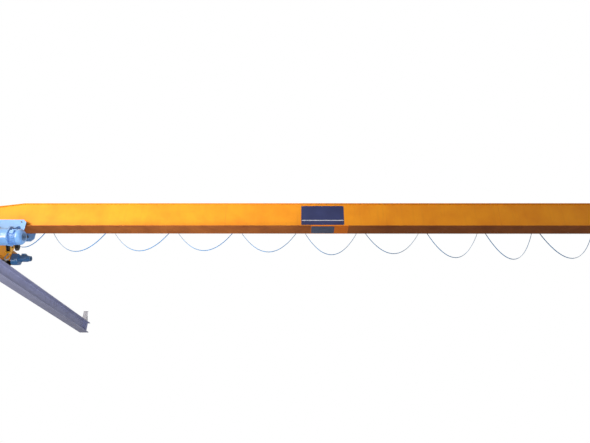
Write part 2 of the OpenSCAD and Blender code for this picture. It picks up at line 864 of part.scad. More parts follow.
// Hook block: two cheeks, the sheave pin, a spacer and the crosshead that holds the hook
module hook_block() {
    low = hook_axle_z - crosshead_drop;
    color("#e8a21c") {
        difference() {
            union() {
                for (side = [-1, 1])
                    slab_x(park_x + side * (cheek_x + cheek_t / 2) - cheek_t / 2,
                            park_x + side * (cheek_x + cheek_t / 2) + cheek_t / 2)
                        translate([bridge_y, hook_axle_z]) {
                            circle(r = sheave_rim_r - 18);
                            translate([-42, -crosshead_drop]) square([84, crosshead_drop]);
                            translate([-62, -60]) square([124, 60]);
                        }
                block([park_x - cheek_x, bridge_y - 32, low],
                    [2 * cheek_x, 64, crosshead_h]);
            }
            translate([park_x, bridge_y, low - 1])
                cylinder(d = hook_d + 2 * fit_gap, h = crosshead_h + 2);
            rod_x(park_x - 90, park_x + 90, bridge_y, hook_axle_z,
                block_pin_d + 2 * fit_gap);
        }
    }
}

module block_sheaves() {
    color("#5d5a58")
        translate([park_x, bridge_y, hook_axle_z]) {
            for (side = [-1, 1])
                translate([side * sheave_x, 0, 0]) sheave(block_pin_d);
            rod_x(-cheek_x - cheek_t - 12, cheek_x + cheek_t + 12, 0, 0, block_pin_d);
        }
}

// Centre line of the hook in the XZ plane: a shank, then three quarters of a ring
function hook_centre(t) =
    t < hook_shank_share
        ? let (u = t / hook_shank_share, s = u * u * (3 - 2 * u))
            [hook_ring_r * cos(hook_from) * s, hook_top * (1 - u)
                + (hook_bowl_z + hook_ring_r * sin(hook_from)) * u]
        : let (u = (t - hook_shank_share) / (1 - hook_shank_share),
                a = hook_from + u * (hook_to - hook_from),
                r = hook_ring_r + 14 * pow(max(0, u - 0.75) / 0.25, 2))
            [r * cos(a), hook_bowl_z + r * sin(a)];

// Half the hook's thickness along its centre line, widest under the load
function hook_half(t) =
    hook_d / 2 * (1 + 0.25 * exp(-pow((t - 0.62) / 0.16, 2))
        - 0.62 * pow(max(0, t - 0.72) / 0.28, 2));

module hook() {
    rings = 32;
    sides = 12;
    points = [for (i = [0:rings])
        let (t = i / rings, c = hook_centre(t),
            d = hook_centre(min(1, t + 0.01)) - hook_centre(max(0, t - 0.01)),
            n = [d[1], -d[0]] / norm(d), h = hook_half(t))
        for (k = [0:sides - 1])
            let (a = 360 * k / sides)
            [park_x + c[0] + n[0] * h * cos(a), bridge_y + 0.85 * h * sin(a),
                c[1] + n[1] * h * cos(a)]];
    color("#4c4b4d") {
        polyhedron(points, tube_faces(rings, sides), convexity = 6);
        translate([park_x, bridge_y, hook_top - hook_neck])
            cylinder(d = hook_d, h = crosshead_h + hook_neck);
        translate([park_x, bridge_y, hook_top + crosshead_h])
            cylinder(d = hook_d + 22, h = 14, $fn = 6);
    }
}

// Faces of a tube of rings 0 to n with the given sides, closed at both ends
function tube_faces(n, sides) = concat(
    [[for (k = [0:sides - 1]) k]],
    [for (i = [0:n - 1], k = [0:sides - 1])
        [i * sides + k, (i + 1) * sides + k, (i + 1) * sides + (k + 1) % sides,
            i * sides + (k + 1) % sides]],
    [[for (k = [sides - 1:-1:0]) n * sides + k]]);

// A cable carrier: rollers in the track, a neck through the slot and a round saddle below
module cable_carrier(i) {
    x = carrier_x(i);
    y = bridge_y + festoon_reach;
    roller_d = 28;
    roller_z = track_z0 + track_wall + gap + roller_d / 2;
    bolt_y = cable_width / 2 + 7;
    color("#3f4a52") {
        for (dx = [-26, 26]) {
            rod_y(x + dx, y - 15, y - 7, roller_z, roller_d);
            rod_y(x + dx, y + 7, y + 15, roller_z, roller_d);
            rod_y(x + dx, y - 15, y + 15, roller_z, 12);
        }
        block([x - 34, y - 3, track_z0 - 30], [68, 6, 30 + track_wall + 16]);
        block([x - 38, y - saddle_width / 2, track_z0 - 36], [76, saddle_width, 6]);
        for (side = [-1, 1])
            translate([x, y + side * bolt_y, saddle_top_z - 16])
                cylinder(d = 8, h = track_z0 - 34 - saddle_top_z + 16);
        block([x - 20, y - bolt_y - 7, saddle_top_z + cable_t + gap],
            [40, 2 * bolt_y + 14, 5]);
        slab_y(y - saddle_width / 2, y + saddle_width / 2)
            translate([x, saddle_z]) saddle_arc(saddle_r - saddle_plate_t);
        slab_y(y - 3, y + 3)
            translate([x, saddle_z]) saddle_arc(saddle_r - 30);
    }
}

// An arch between radius inner and the saddle's outer radius, over the cable's wrap
module saddle_arc(inner) {
    reach = 2 * saddle_r;
    intersection() {
        difference() {
            circle(r = saddle_r);
            circle(r = inner);
        }
        polygon([[0, 0], [reach * sin(-leave_angle - 8), reach * cos(leave_angle + 8)],
            [0, 2 * reach], [reach * sin(leave_angle + 8), reach * cos(leave_angle + 8)]]);
    }
}

module cable_carrier_01() { cable_carrier(0); }
module cable_carrier_02() { cable_carrier(1); }
module cable_carrier_03() { cable_carrier(2); }
module cable_carrier_04() { cable_carrier(3); }
module cable_carrier_05() { cable_carrier(4); }
module cable_carrier_06() { cable_carrier(5); }
module cable_carrier_07() { cable_carrier(6); }
module cable_carrier_08() { cable_carrier(7); }
module cable_carrier_09() { cable_carrier(8); }
module cable_carrier_10() { cable_carrier(9); }
module cable_carrier_11() { cable_carrier(10); }

// A point of the cable over saddle i, at an angle from straight up
function bend_point(i, a) = [carrier_x(i) + bend_r * sin(a), saddle_z + bend_r * cos(a)];

// Steps along one hanging loop, and the cable's bends at its two clamps
loop_steps = [-0.55, 0, 0.55];
tow_bend = [[tow_x, end_clamp_z], [tow_x + 45, end_clamp_z - 6], [tow_x + 80, end_clamp_z - 45]];
feed_bend = [[feed_x - 80, end_clamp_z - 45], [feed_x - 45, end_clamp_z - 6],
    [feed_x, end_clamp_z]];
loops = len(loop_low);
loop_from = concat([tow_bend[2]],
    [for (i = [0:loops - 2]) bend_point(i, leave_angle)]);
loop_to = concat([for (i = [0:loops - 2]) bend_point(i, -leave_angle)],
    [feed_bend[0]]);

// A point of loop i: u runs from -1 at its left end to 1 at its right end
function loop_point(i, u) =
    [(loop_from[i][0] + loop_to[i][0]) / 2 + u * (loop_to[i][0] - loop_from[i][0]) / 2,
        loop_low[i] + ((u < 0 ? loop_from[i][1] : loop_to[i][1]) - loop_low[i]) * u * u];

cable_route = concat([tow_bend[0], tow_bend[1]],
    [for (i = [0:loops - 1]) each concat([loop_from[i]],
        [for (u = loop_steps) loop_point(i, u)], [loop_to[i]],
        i < loops - 1 ? [for (k = [1, 2]) bend_point(i, bend_angles[k])] : [])],
    [feed_bend[1], feed_bend[2]]);

// The flat festoon cable, swept along its route
module festoon_cable() {
    n = len(cable_route) - 1;
    w = cable_width / 2;
    h = cable_t / 2;
    section = [[w, h / 2], [w - h / 2, h], [h / 2 - w, h], [-w, h / 2],
        [-w, -h / 2], [h / 2 - w, -h], [w - h / 2, -h], [w, -h / 2]];
    y = bridge_y + festoon_reach;
    points = [for (i = [0:n])
        let (c = cable_route[i],
            d = i == 0 || i == n ? [1, 0]
                : cable_route[i + 1] - cable_route[i - 1],
            up = [-d[1], d[0]] / norm(d))
        for (s = section) [c[0] + up[0] * s[1], y + s[0], c[1] + up[1] * s[1]]];
    color("#7fa8c9") polyhedron(points, tube_faces(n, len(section)), convexity = 10);
}

runway_beam_left();
runway_beam_right();
rail_left();
rail_right();
runway_end_stops();
girder_top_flange();
girder_front_web();
girder_rear_web();
girder_bottom_flange();
girder_diaphragms();
saddle_plates();
end_carriage_left();
end_carriage_right();
bridge_wheels();
travel_drives();
carriage_buffers();
trolley_stops();
sign_plate();
load_plate();
festoon_track();
festoon_arms();
feed_box();
control_panel();
trolley_side_plates();
trolley_wheels();
trolley_tie_bars();
drum_brackets();
drum_housing();
rope_drum();
hoist_gearbox();
hoist_motor();
return_sheave();
hoist_control_box();
tow_arm();
rope_falls();
hook_block();
block_sheaves();
hook();
cable_carrier_01();
cable_carrier_02();
cable_carrier_03();
cable_carrier_04();
cable_carrier_05();
cable_carrier_06();
cable_carrier_07();
cable_carrier_08();
cable_carrier_09();
cable_carrier_10();
cable_carrier_11();
festoon_cable();
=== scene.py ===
"""Looks of an overhead bridge crane: finishes, small parts, cable, ropes, studio and camera.

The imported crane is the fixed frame. Every piece made here is in metres in the crane's own frame:
X along the girder, Y along the runway and Z up, with the origin midway between the runways.
"""

import logging
import math
from dataclasses import dataclass, field
from enum import Enum
from typing import Callable, ClassVar, Sequence

import bmesh
import bpy
from mathutils import Euler, Matrix, Vector


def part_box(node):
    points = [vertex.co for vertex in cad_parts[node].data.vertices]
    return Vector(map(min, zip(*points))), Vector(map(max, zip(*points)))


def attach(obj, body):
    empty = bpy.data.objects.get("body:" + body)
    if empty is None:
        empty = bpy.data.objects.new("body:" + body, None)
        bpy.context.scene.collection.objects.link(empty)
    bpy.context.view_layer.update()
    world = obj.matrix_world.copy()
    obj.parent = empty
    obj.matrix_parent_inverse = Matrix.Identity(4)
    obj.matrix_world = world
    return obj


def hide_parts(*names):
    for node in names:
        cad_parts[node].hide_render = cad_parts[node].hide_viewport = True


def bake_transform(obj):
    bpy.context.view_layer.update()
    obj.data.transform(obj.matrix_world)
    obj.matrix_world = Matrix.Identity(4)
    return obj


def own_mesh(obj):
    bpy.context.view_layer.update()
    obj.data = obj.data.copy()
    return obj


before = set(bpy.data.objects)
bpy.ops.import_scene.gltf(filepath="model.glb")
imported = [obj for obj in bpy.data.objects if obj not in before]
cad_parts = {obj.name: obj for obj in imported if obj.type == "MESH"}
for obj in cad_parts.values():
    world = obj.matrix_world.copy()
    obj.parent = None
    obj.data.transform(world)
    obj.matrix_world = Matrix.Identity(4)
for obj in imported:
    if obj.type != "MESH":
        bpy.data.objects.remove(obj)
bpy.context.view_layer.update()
LOG = logging.getLogger("crane")
MM = 0.001
TAU = 2 * math.pi
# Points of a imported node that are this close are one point, and its faces that differ by less
# than this angle are one face
WELD_GAP = 2e-6
FLAT_ANGLE = math.radians(0.4)

Flat = tuple[float, float]
Place = tuple[float, float, float]
Section = Sequence[Flat]
Tree = bpy.types.NodeTree
Socket = bpy.types.NodeSocket

UP: Place = (0.0, 0.0, 1.0)
DOWN: Place = (0.0, 0.0, -1.0)
FRONT: Place = (0.0, -1.0, 0.0)
REAR: Place = (0.0, 1.0, 0.0)
FOOT: Place = (0.0, 0.0, 0.0)
SIDES = (-1, 1)


class Body(str, Enum):
    """The crane's moving bodies that pieces ride on."""

    RUNWAY = "runway"
    BRIDGE = "bridge"
    HOIST = "hoist"
    HOOK = "hook"


class Axis(Enum):
    """The direction that a turned or extruded piece runs along."""

    X = (0.0, math.pi / 2, 0.0)
    Y = (-math.pi / 2, 0.0, 0.0)
    Z = (0.0, 0.0, 0.0)

    def turn(self) -> Matrix:
        """Rotation that carries +Z to this axis."""
        return Euler(self.value).to_matrix().to_4x4()


class Thread(float, Enum):
    """Thread diameters of the bolts and nuts."""

    M5 = 0.005
    M6 = 0.006
    M7 = 0.007
    M8 = 0.008
    M10 = 0.010
    M12 = 0.012
    AXLE = 0.013
    M14 = 0.014
    M16 = 0.016
    M22 = 0.022


def linear(hex_colour: str) -> tuple[float, float, float, float]:
    """Turns an sRGB hex colour to linear RGBA.

    Args:
        hex_colour: colour such as "#e8a02c".

    Returns:
        Linear red, green, blue and an alpha of 1.
    """
    parts = [int(hex_colour[i:i + 2], 16) / 255 for i in (1, 3, 5)]
    made = [p / 12.92 if p <= 0.04045 else ((p + 0.055) / 1.055) ** 2.4 for p in parts]
    return (made[0], made[1], made[2], 1.0)


def add_node(
    tree: Tree, kind: str, settings: dict[str | int, object] | None = None,
    links: dict[str | int, Socket] | None = None,
) -> bpy.types.Node:
    """Adds a node with its settings and its incoming links.

    Args:
        tree: the node tree to add to.
        kind: the node's type name.
        settings: values by attribute name, or by input name or number.
        links: the socket that feeds each input, by the input's name or number.

    Returns:
        The new node.
    """
    node = tree.nodes.new(kind)
    for key, value in (settings or {}).items():
        if isinstance(key, str) and hasattr(node, key):
            setattr(node, key, value)
        else:
            node.inputs[key].default_value = value
    for key, source in (links or {}).items():
        tree.links.new(source, node.inputs[key])
    return node


@dataclass(frozen=True)
class Finish:
    """A surface finish, made as a procedural material the first time it is asked for.

    Attributes:
        name: common name.
        base: main colour, sRGB hex.
        tint: colour that drifts through it.
        roughness: mean roughness.
        metallic: 1 for bare metal, 0 for the rest.
        patch_mm: size of the drifting patches.
        grain_mm: size of the fine relief.
        relief_mm: depth of the fine relief.
        dust: share of pale dust on faces that look up.
        dust_colour: colour of that dust.
        gloss: level of the mirror-like share; 0.5 is usual.
        ROUGHNESS_DRIFT: drift of the roughness below and above its mean.
        DUST_SLOPE: upward share of the normal where dust starts and is full.
        DUST_PATCH_MM: size of the dust's patches.
        BUMP_STRENGTH: strength of the fine relief.
    """

    name: str
    base: str
    tint: str
    roughness: float = 0.5
    metallic: float = 0.0
    patch_mm: float = 400.0
    grain_mm: float = 4.0
    relief_mm: float = 0.15
    dust: float = 0.25
    dust_colour: str = "#a89f92"
    gloss: float = 0.5

    ROUGHNESS_DRIFT: ClassVar[Flat] = (-0.06, 0.08)
    DUST_SLOPE: ClassVar[Flat] = (0.3, 0.95)
    DUST_PATCH_MM: ClassVar[float] = 60.0
    BUMP_STRENGTH: ClassVar[float] = 0.5

    def material(self) -> bpy.types.Material:
        """The material of this finish, built once.

        Returns:
            The material.
        """
        made = bpy.data.materials.get(self.name)
        if made is None:
            made = bpy.data.materials.new(self.name)
            made.use_nodes = True
            made.node_tree.nodes.clear()
            self.build(made.node_tree)
        return made

    def build(self, tree: Tree) -> None:
        """Fills the material's tree.

        Args:
            tree: the empty node tree.
        """
        where = add_node(tree, "ShaderNodeTexCoord").outputs["Object"]
        colour = self.dusted(tree, self.colour(tree, where), where)
        low, high = (self.roughness + drift for drift in self.ROUGHNESS_DRIFT)
        shader = add_node(
            tree,
            "ShaderNodeBsdfPrincipled",
            {"Metallic": self.metallic, "Specular IOR Level": self.gloss},
            {
                "Base Color": colour,
                "Roughness": self.cloud(tree, where, self.patch_mm / 5, (0.3, 0.7), (low, high)),
                "Normal": self.relief(tree, where),
            },
        )
        add_node(tree, "ShaderNodeOutputMaterial", links={"Surface": shader.outputs[0]})

    def cloud(
        self, tree: Tree, where: Socket, size_mm: float, span: Flat, level: Flat,
        stretch: Place = (1.0, 1.0, 1.0), detail: float = 4.0,
    ) -> Socket:
        """Cloudy patches, drawn out by stretch and cut to a level.

        Args:
            tree: the node tree.
            where: coordinates to read.
            size_mm: size of one patch.
            span: noise values between which the patches rise.
            level: the result below and above that span.
            stretch: how many times longer the patches are along X, Y and Z.
            detail: how much finer noise is added.

        Returns:
            A value between the two levels.
        """
        scale = tuple(1.0 / s for s in stretch)
        mapped = add_node(tree, "ShaderNodeMapping", {"Scale": scale}, {"Vector": where})
        noise = add_node(
            tree, "ShaderNodeTexNoise", {"Scale": 1.0 / (size_mm * MM), "Detail": detail},
            {"Vector": mapped.outputs[0]},
        )
        return add_node(
            tree, "ShaderNodeMapRange",
            {"From Min": span[0], "From Max": span[1], "To Min": level[0], "To Max": level[1]},
            {"Value": noise.outputs["Fac"]},
        ).outputs["Result"]

    def over(self, tree: Tree, colour: Socket, coat: str, share: Socket) -> Socket:
        """Lays a coat of another colour over a colour.

        Args:
            tree: the node tree.
            colour: the colour beneath.
            coat: the coat's colour, sRGB hex.
            share: how much of the coat covers, from 0 to 1.

        Returns:
            The mixed colour.
        """
        share_in, under_in, over_in, mixed_out = 0, 6, 7, 2
        return add_node(tree, "ShaderNodeMix", {"data_type": "RGBA", over_in: linear(coat)},
                        {share_in: share, under_in: colour}).outputs[mixed_out]

    def colour(self, tree: Tree, where: Socket) -> Socket:
        """The base colour with slow drifts towards the tint.

        Args:
            tree: the node tree.
            where: coordinates to read.

        Returns:
            The colour.
        """
        plain = add_node(tree, "ShaderNodeRGB").outputs[0]
        plain.default_value = linear(self.base)
        drift = self.cloud(tree, where, self.patch_mm, (0.35, 0.7), (0.0, 1.0))
        return self.over(tree, plain, self.tint, drift)

    def dusted(self, tree: Tree, colour: Socket, where: Socket) -> Socket:
        """Adds pale dust where the surface looks up.

        Args:
            tree: the node tree.
            colour: the colour beneath.
            where: coordinates to read.

        Returns:
            The dusted colour.
        """
        if self.dust <= 0:
            return colour
        normal = add_node(tree, "ShaderNodeNewGeometry").outputs["Normal"]
        up = add_node(tree, "ShaderNodeSeparateXYZ", links={0: normal}).outputs["Z"]
        level = add_node(
            tree, "ShaderNodeMapRange",
            {"From Min": self.DUST_SLOPE[0], "From Max": self.DUST_SLOPE[1], "To Max": self.dust},
            {"Value": up},
        ).outputs["Result"]
        patch = self.cloud(tree, where, self.DUST_PATCH_MM, (0.3, 0.6), (0.4, 1.0))
        share = add_node(tree, "ShaderNodeMath", {"operation": "MULTIPLY"},
                         {0: level, 1: patch}).outputs[0]
        return self.over(tree, colour, self.dust_colour, share)

    def relief(self, tree: Tree, where: Socket) -> Socket:
        """The fine relief of the surface.

        Args:
            tree: the node tree.
            where: coordinates to read.

        Returns:
            The surface's normal.
        """
        height = self.cloud(tree, where, self.grain_mm, (0.2, 0.8), (0.0, 1.0), detail=2.0)
        return add_node(
            tree, "ShaderNodeBump",
            {"Strength": self.BUMP_STRENGTH, "Distance": self.relief_mm * MM},
            {"Height": height},
        ).outputs[0]


@dataclass(frozen=True)
class Enamel(Finish):
    """Sprayed machine enamel with run-off streaks and a few scuffs.

    Attributes:
        streak_colour: colour of grime that ran down.
        streak_share: strength of the streaks.
        scuff_colour: colour of the scuffs.
        scuff_share: strength of the scuffs.
        patch_x_m: span in X of a newer coat, or two equal values for none.
        patch_colour: colour of that coat.
        STREAK_MM: width of a streak.
        STREAK_RUN: stretch of a streak along X, Y and Z.
        SCUFF_MM: width of a scuff.
        SCUFF_RUN: stretch of a scuff along X, Y and Z.
    """

    streak_colour: str = "#8a5a22"
    streak_share: float = 0.22
    scuff_colour: str = "#4a3420"
    scuff_share: float = 0.5
    patch_x_m: Flat = (0.0, 0.0)
    patch_colour: str = "#c8731f"

    STREAK_MM: ClassVar[float] = 45.0
    STREAK_RUN: ClassVar[Place] = (1.0, 1.0, 14.0)
    SCUFF_MM: ClassVar[float] = 110.0
    SCUFF_RUN: ClassVar[Place] = (2.5, 1.0, 1.0)

    def colour(self, tree: Tree, where: Socket) -> Socket:
        """Enamel with patches, upright streaks and sparse scuffs.

        Args:
            tree: the node tree.
            where: coordinates to read.

        Returns:
            The colour.
        """
        colour = super().colour(tree, where)
        if self.patch_x_m[0] < self.patch_x_m[1]:
            x = add_node(tree, "ShaderNodeSeparateXYZ", links={0: where}).outputs["X"]
            middle = sum(self.patch_x_m) / 2
            half = (self.patch_x_m[1] - self.patch_x_m[0]) / 2
            share = add_node(tree, "ShaderNodeMath", {"operation": "COMPARE", 1: middle, 2: half},
                             {0: x}).outputs[0]
            colour = self.over(tree, colour, self.patch_colour, share)
        run = self.cloud(tree, where, self.STREAK_MM, (0.55, 0.8), (0.0, self.streak_share),
                         self.STREAK_RUN, 3.0)
        colour = self.over(tree, colour, self.streak_colour, run)
        scuff = self.cloud(tree, where, self.SCUFF_MM, (0.70, 0.78), (0.0, self.scuff_share),
                           self.SCUFF_RUN, 6.0)
        return self.over(tree, colour, self.scuff_colour, scuff)


@dataclass(frozen=True)
class WornSteel(Finish):
    """Bare or zinc-coated steel with rusty freckles.

    Attributes:
        rust: share of rust freckles.
        rust_colour: colour of the rust.
        FRECKLES: number of freckles across one patch.
    """

    rust: float = 0.2
    rust_colour: str = "#6b3f22"

    FRECKLES: ClassVar[int] = 6

    def colour(self, tree: Tree, where: Socket) -> Socket:
        """Steel with patches and freckles of rust.

        Args:
            tree: the node tree.
            where: coordinates to read.

        Returns:
            The colour.
        """
        colour = super().colour(tree, where)
        freckle = self.cloud(tree, where, self.patch_mm / self.FRECKLES, (0.56, 0.72),
                             (0.0, self.rust), detail=6.0)
        return self.over(tree, colour, self.rust_colour, freckle)


# Sprayed orange-yellow enamel: warm and satin, a little paler in patches
GIRDER = Enamel("orange_enamel", "#ee9a18", "#e38b13", 0.45, dust=0.5, gloss=0.28,
                streak_share=0.10, scuff_share=0.12)
# The same enamel under the girder, dull; its darker brown is painted shade of the underside, with
# a paler newer patch
SHADED_UNDERSIDE = Enamel("orange_enamel_painted_shade", "#a65f2a", "#8e4d22", 0.65, dust=0.0, gloss=0.2,
                   patch_x_m=(-1.18, -0.305), patch_colour="#e2781e")
# Thin grey-blue primer on the runway beams, quite matt
PRIMER = Enamel("grey_blue_primer", "#a9aed0", "#9a9ec0", 0.6, dust=0.4,
                streak_colour="#6d6570", scuff_colour="#5c565c")
# Pale grey paint on the end stops, chalky
STOP_GREY = Enamel("pale_grey_paint", "#b4b6c2", "#a4a6b4", 0.6, dust=0.4,
                   streak_colour="#7d7268", scuff_colour="#5c565c")
# Rolled rail steel, brown on the flanks
RAIL = WornSteel("rail_steel", "#6c655f", "#584c43", 0.45, 1.0, 150.0, 2.0, 0.2, 0.0, rust=0.6)
# Turned cast iron wheels, dark with bright treads
CAST_IRON = WornSteel("cast_iron", "#55524f", "#403d3a", 0.5, 1.0, 60.0, 1.5, 0.2, 0.15,
                      rust=0.25)
# Blue machine enamel on the gearmotors, glossy
MACHINE_BLUE = Finish("machine_enamel_blue", "#3c6ea5", "#356394", 0.35, dust=0.4)
# Light blue hoist enamel, chalky in strong light
HOIST_BLUE = Enamel("hoist_enamel_blue", "#7fb0ea", "#72a4e0", 0.38, dust=0.3,
                    streak_colour="#4a6c94", streak_share=0.12, scuff_colour="#35506e")
# Pale enamel for a painted highlight: a pale strip along the hoist's drum housing and motor cowl
PAINTED_HIGHLIGHT = Finish("painted_highlight_enamel", "#dfeaf5", "#cfdcec", 0.4, dust=0.2)
# Moulded black rubber on the buffers
RUBBER = Finish("black_rubber", "#1c1c1e", "#262629", 0.75, 0.0, 50.0, 0.8, 0.1, 0.3)
# Navy sheet enamel on the sign, smooth and even
SIGN_NAVY = Finish("navy_sheet_enamel", "#29305c", "#303868", 0.4, 0.0, 300.0, 3.0, 0.04, 0.0,
                   gloss=0.25)
# White sheet enamel for the sign's line
SIGN_WHITE = Finish("white_sheet_enamel", "#c9cde0", "#bcc1d6", 0.4, 0.0, 200.0, 3.0, 0.04, 0.0)
# Slate enamel on the plate under the girder
PLATE_SLATE = Finish("slate_sheet_enamel", "#434b66", "#505874", 0.5, 0.0, 120.0, 3.0, 0.05, 0.0)
# Hot-dip zinc: grey, crystalline and dull
ZINC = WornSteel("hot_dip_zinc", "#8b8f90", "#777b7c", 0.5, 1.0, 40.0, 3.0, 0.1, 0.2, rust=0.1)
# Light grey powder coat with a fine orange peel
POWDER_GREY = Finish("powder_coat_grey", "#b9bdbf", "#b0b4b6", 0.45, 0.0, 300.0, 1.5, 0.1, 0.35)
# Moulded dark grey plastic of glands, latches and fan guards
DARK_PLASTIC = Finish("dark_moulded_plastic", "#2b2d30", "#33363a", 0.5, 0.0, 60.0, 1.0, 0.08)
# Greased wire rope, dark and slightly shiny
ROPE = WornSteel("greased_wire", "#5b5750", "#45413a", 0.4, 1.0, 30.0, 1.0, 0.2, 0.0, rust=0.15)
# Yellow enamel on the hook block
BLOCK_YELLOW = Enamel("hook_enamel_yellow", "#e5a420", "#d8961a", 0.4, dust=0.2,
                      streak_share=0.3)
# Forged and oiled hook steel, nearly black
FORGED = WornSteel("forged_steel", "#33312f", "#262423", 0.45, 1.0, 40.0, 2.0, 0.25, 0.0,
                   rust=0.2)
# Blue sheath of the flat cable, PVC with a soft sheen
SHEATH = Finish("cable_sheath_pvc", "#2189cc", "#1b7aba", 0.45, 0.0, 700.0, 2.0, 0.05, 0.1,
                gloss=0.25)
# Dark zinc on the small carriers
DARK_ZINC = WornSteel("dark_zinc", "#3d474e", "#323a40", 0.45, 1.0, 30.0, 2.0, 0.1, 0.15,
                      rust=0.1)
# Bright machined steel of bolt heads
BOLT = WornSteel("bolt_steel", "#8d8a84", "#6f6c66", 0.35, 1.0, 12.0, 1.0, 0.05, 0.0, rust=0.2)
# Laid weld metal, painted over with the girder
WELD = Finish("painted_weld", "#e08e1c", "#d58316", 0.5, 0.0, 80.0, 9.0, 1.2, 0.4, gloss=0.3)
# Zinc-yellow chromate on nuts and latch springs, faintly golden
CHROMATE = WornSteel("yellow_chromate", "#a59558", "#8a7b45", 0.4, 1.0, 20.0, 1.0, 0.04, 0.05)
# Moulded black rubber of the cable's strain reliefs, ribbed and dull
GROMMET = Finish("strain_relief_rubber", "#232427", "#2c2d31", 0.7, 0.0, 30.0, 0.8, 0.1, 0.1)


@dataclass(frozen=True)
class Layout:
    """Places that the sub-assemblies share, as in the part's source.

    Attributes:
        rail_x: distance of the rails from the middle.
        bridge_y: place of the girder along the runway.
        beam_depth: top of the runway beams.
        axle_z: height of the bridge wheels' axles.
        girder_z0: underside of the girder.
        girder_z1: top of the girder.
        ledge_z: top of the bottom flange, where the hoist rolls.
        girder_half: half the girder's length.
        shoulder_x: where the shoulders start.
        shoulder_drop: slope of the shoulders.
        web_half: half the width over the webs.
        ledge_half: half the width of the bottom flange.
        wheel_base: distance between a carriage's wheels.
        festoon_y: place of the flat cable along the runway.
        park_x: middle of the hoist at rest.
        plate_outer: half the width over the trolley's plates.
        drum_y: the drum's axis along the runway.
        drum_z: height of the drum's axis.
        housing_x0: left end of the drum housing.
        housing_x1: right end of the drum housing.
        hook_axle_z: height of the hook block's axle.
    """

    rail_x: float = 8.9
    bridge_y: float = -2.04
    beam_depth: float = 0.34
    axle_z: float = 0.5203
    girder_z0: float = 0.7933
    girder_z1: float = 1.4133
    ledge_z: float = 0.8073
    girder_half: float = 8.98
    shoulder_x: float = 7.98
    shoulder_drop: float = 0.13
    web_half: float = 0.136
    ledge_half: float = 0.21
    wheel_base: float = 2.5
    festoon_y: float = -1.64
    park_x: float = -8.15
    plate_outer: float = 0.252
    drum_y: float = -2.50
    drum_z: float = 0.3903
    housing_x0: float = -8.46
    housing_x1: float = -7.90
    hook_axle_z: float = 0.34

    def top_z(self, x: float) -> float:
        """Height of the top flange's upper side at x, with its sloping shoulders."""
        return self.girder_z1 - max(0.0, abs(x) - self.shoulder_x) * self.shoulder_drop


L = Layout()


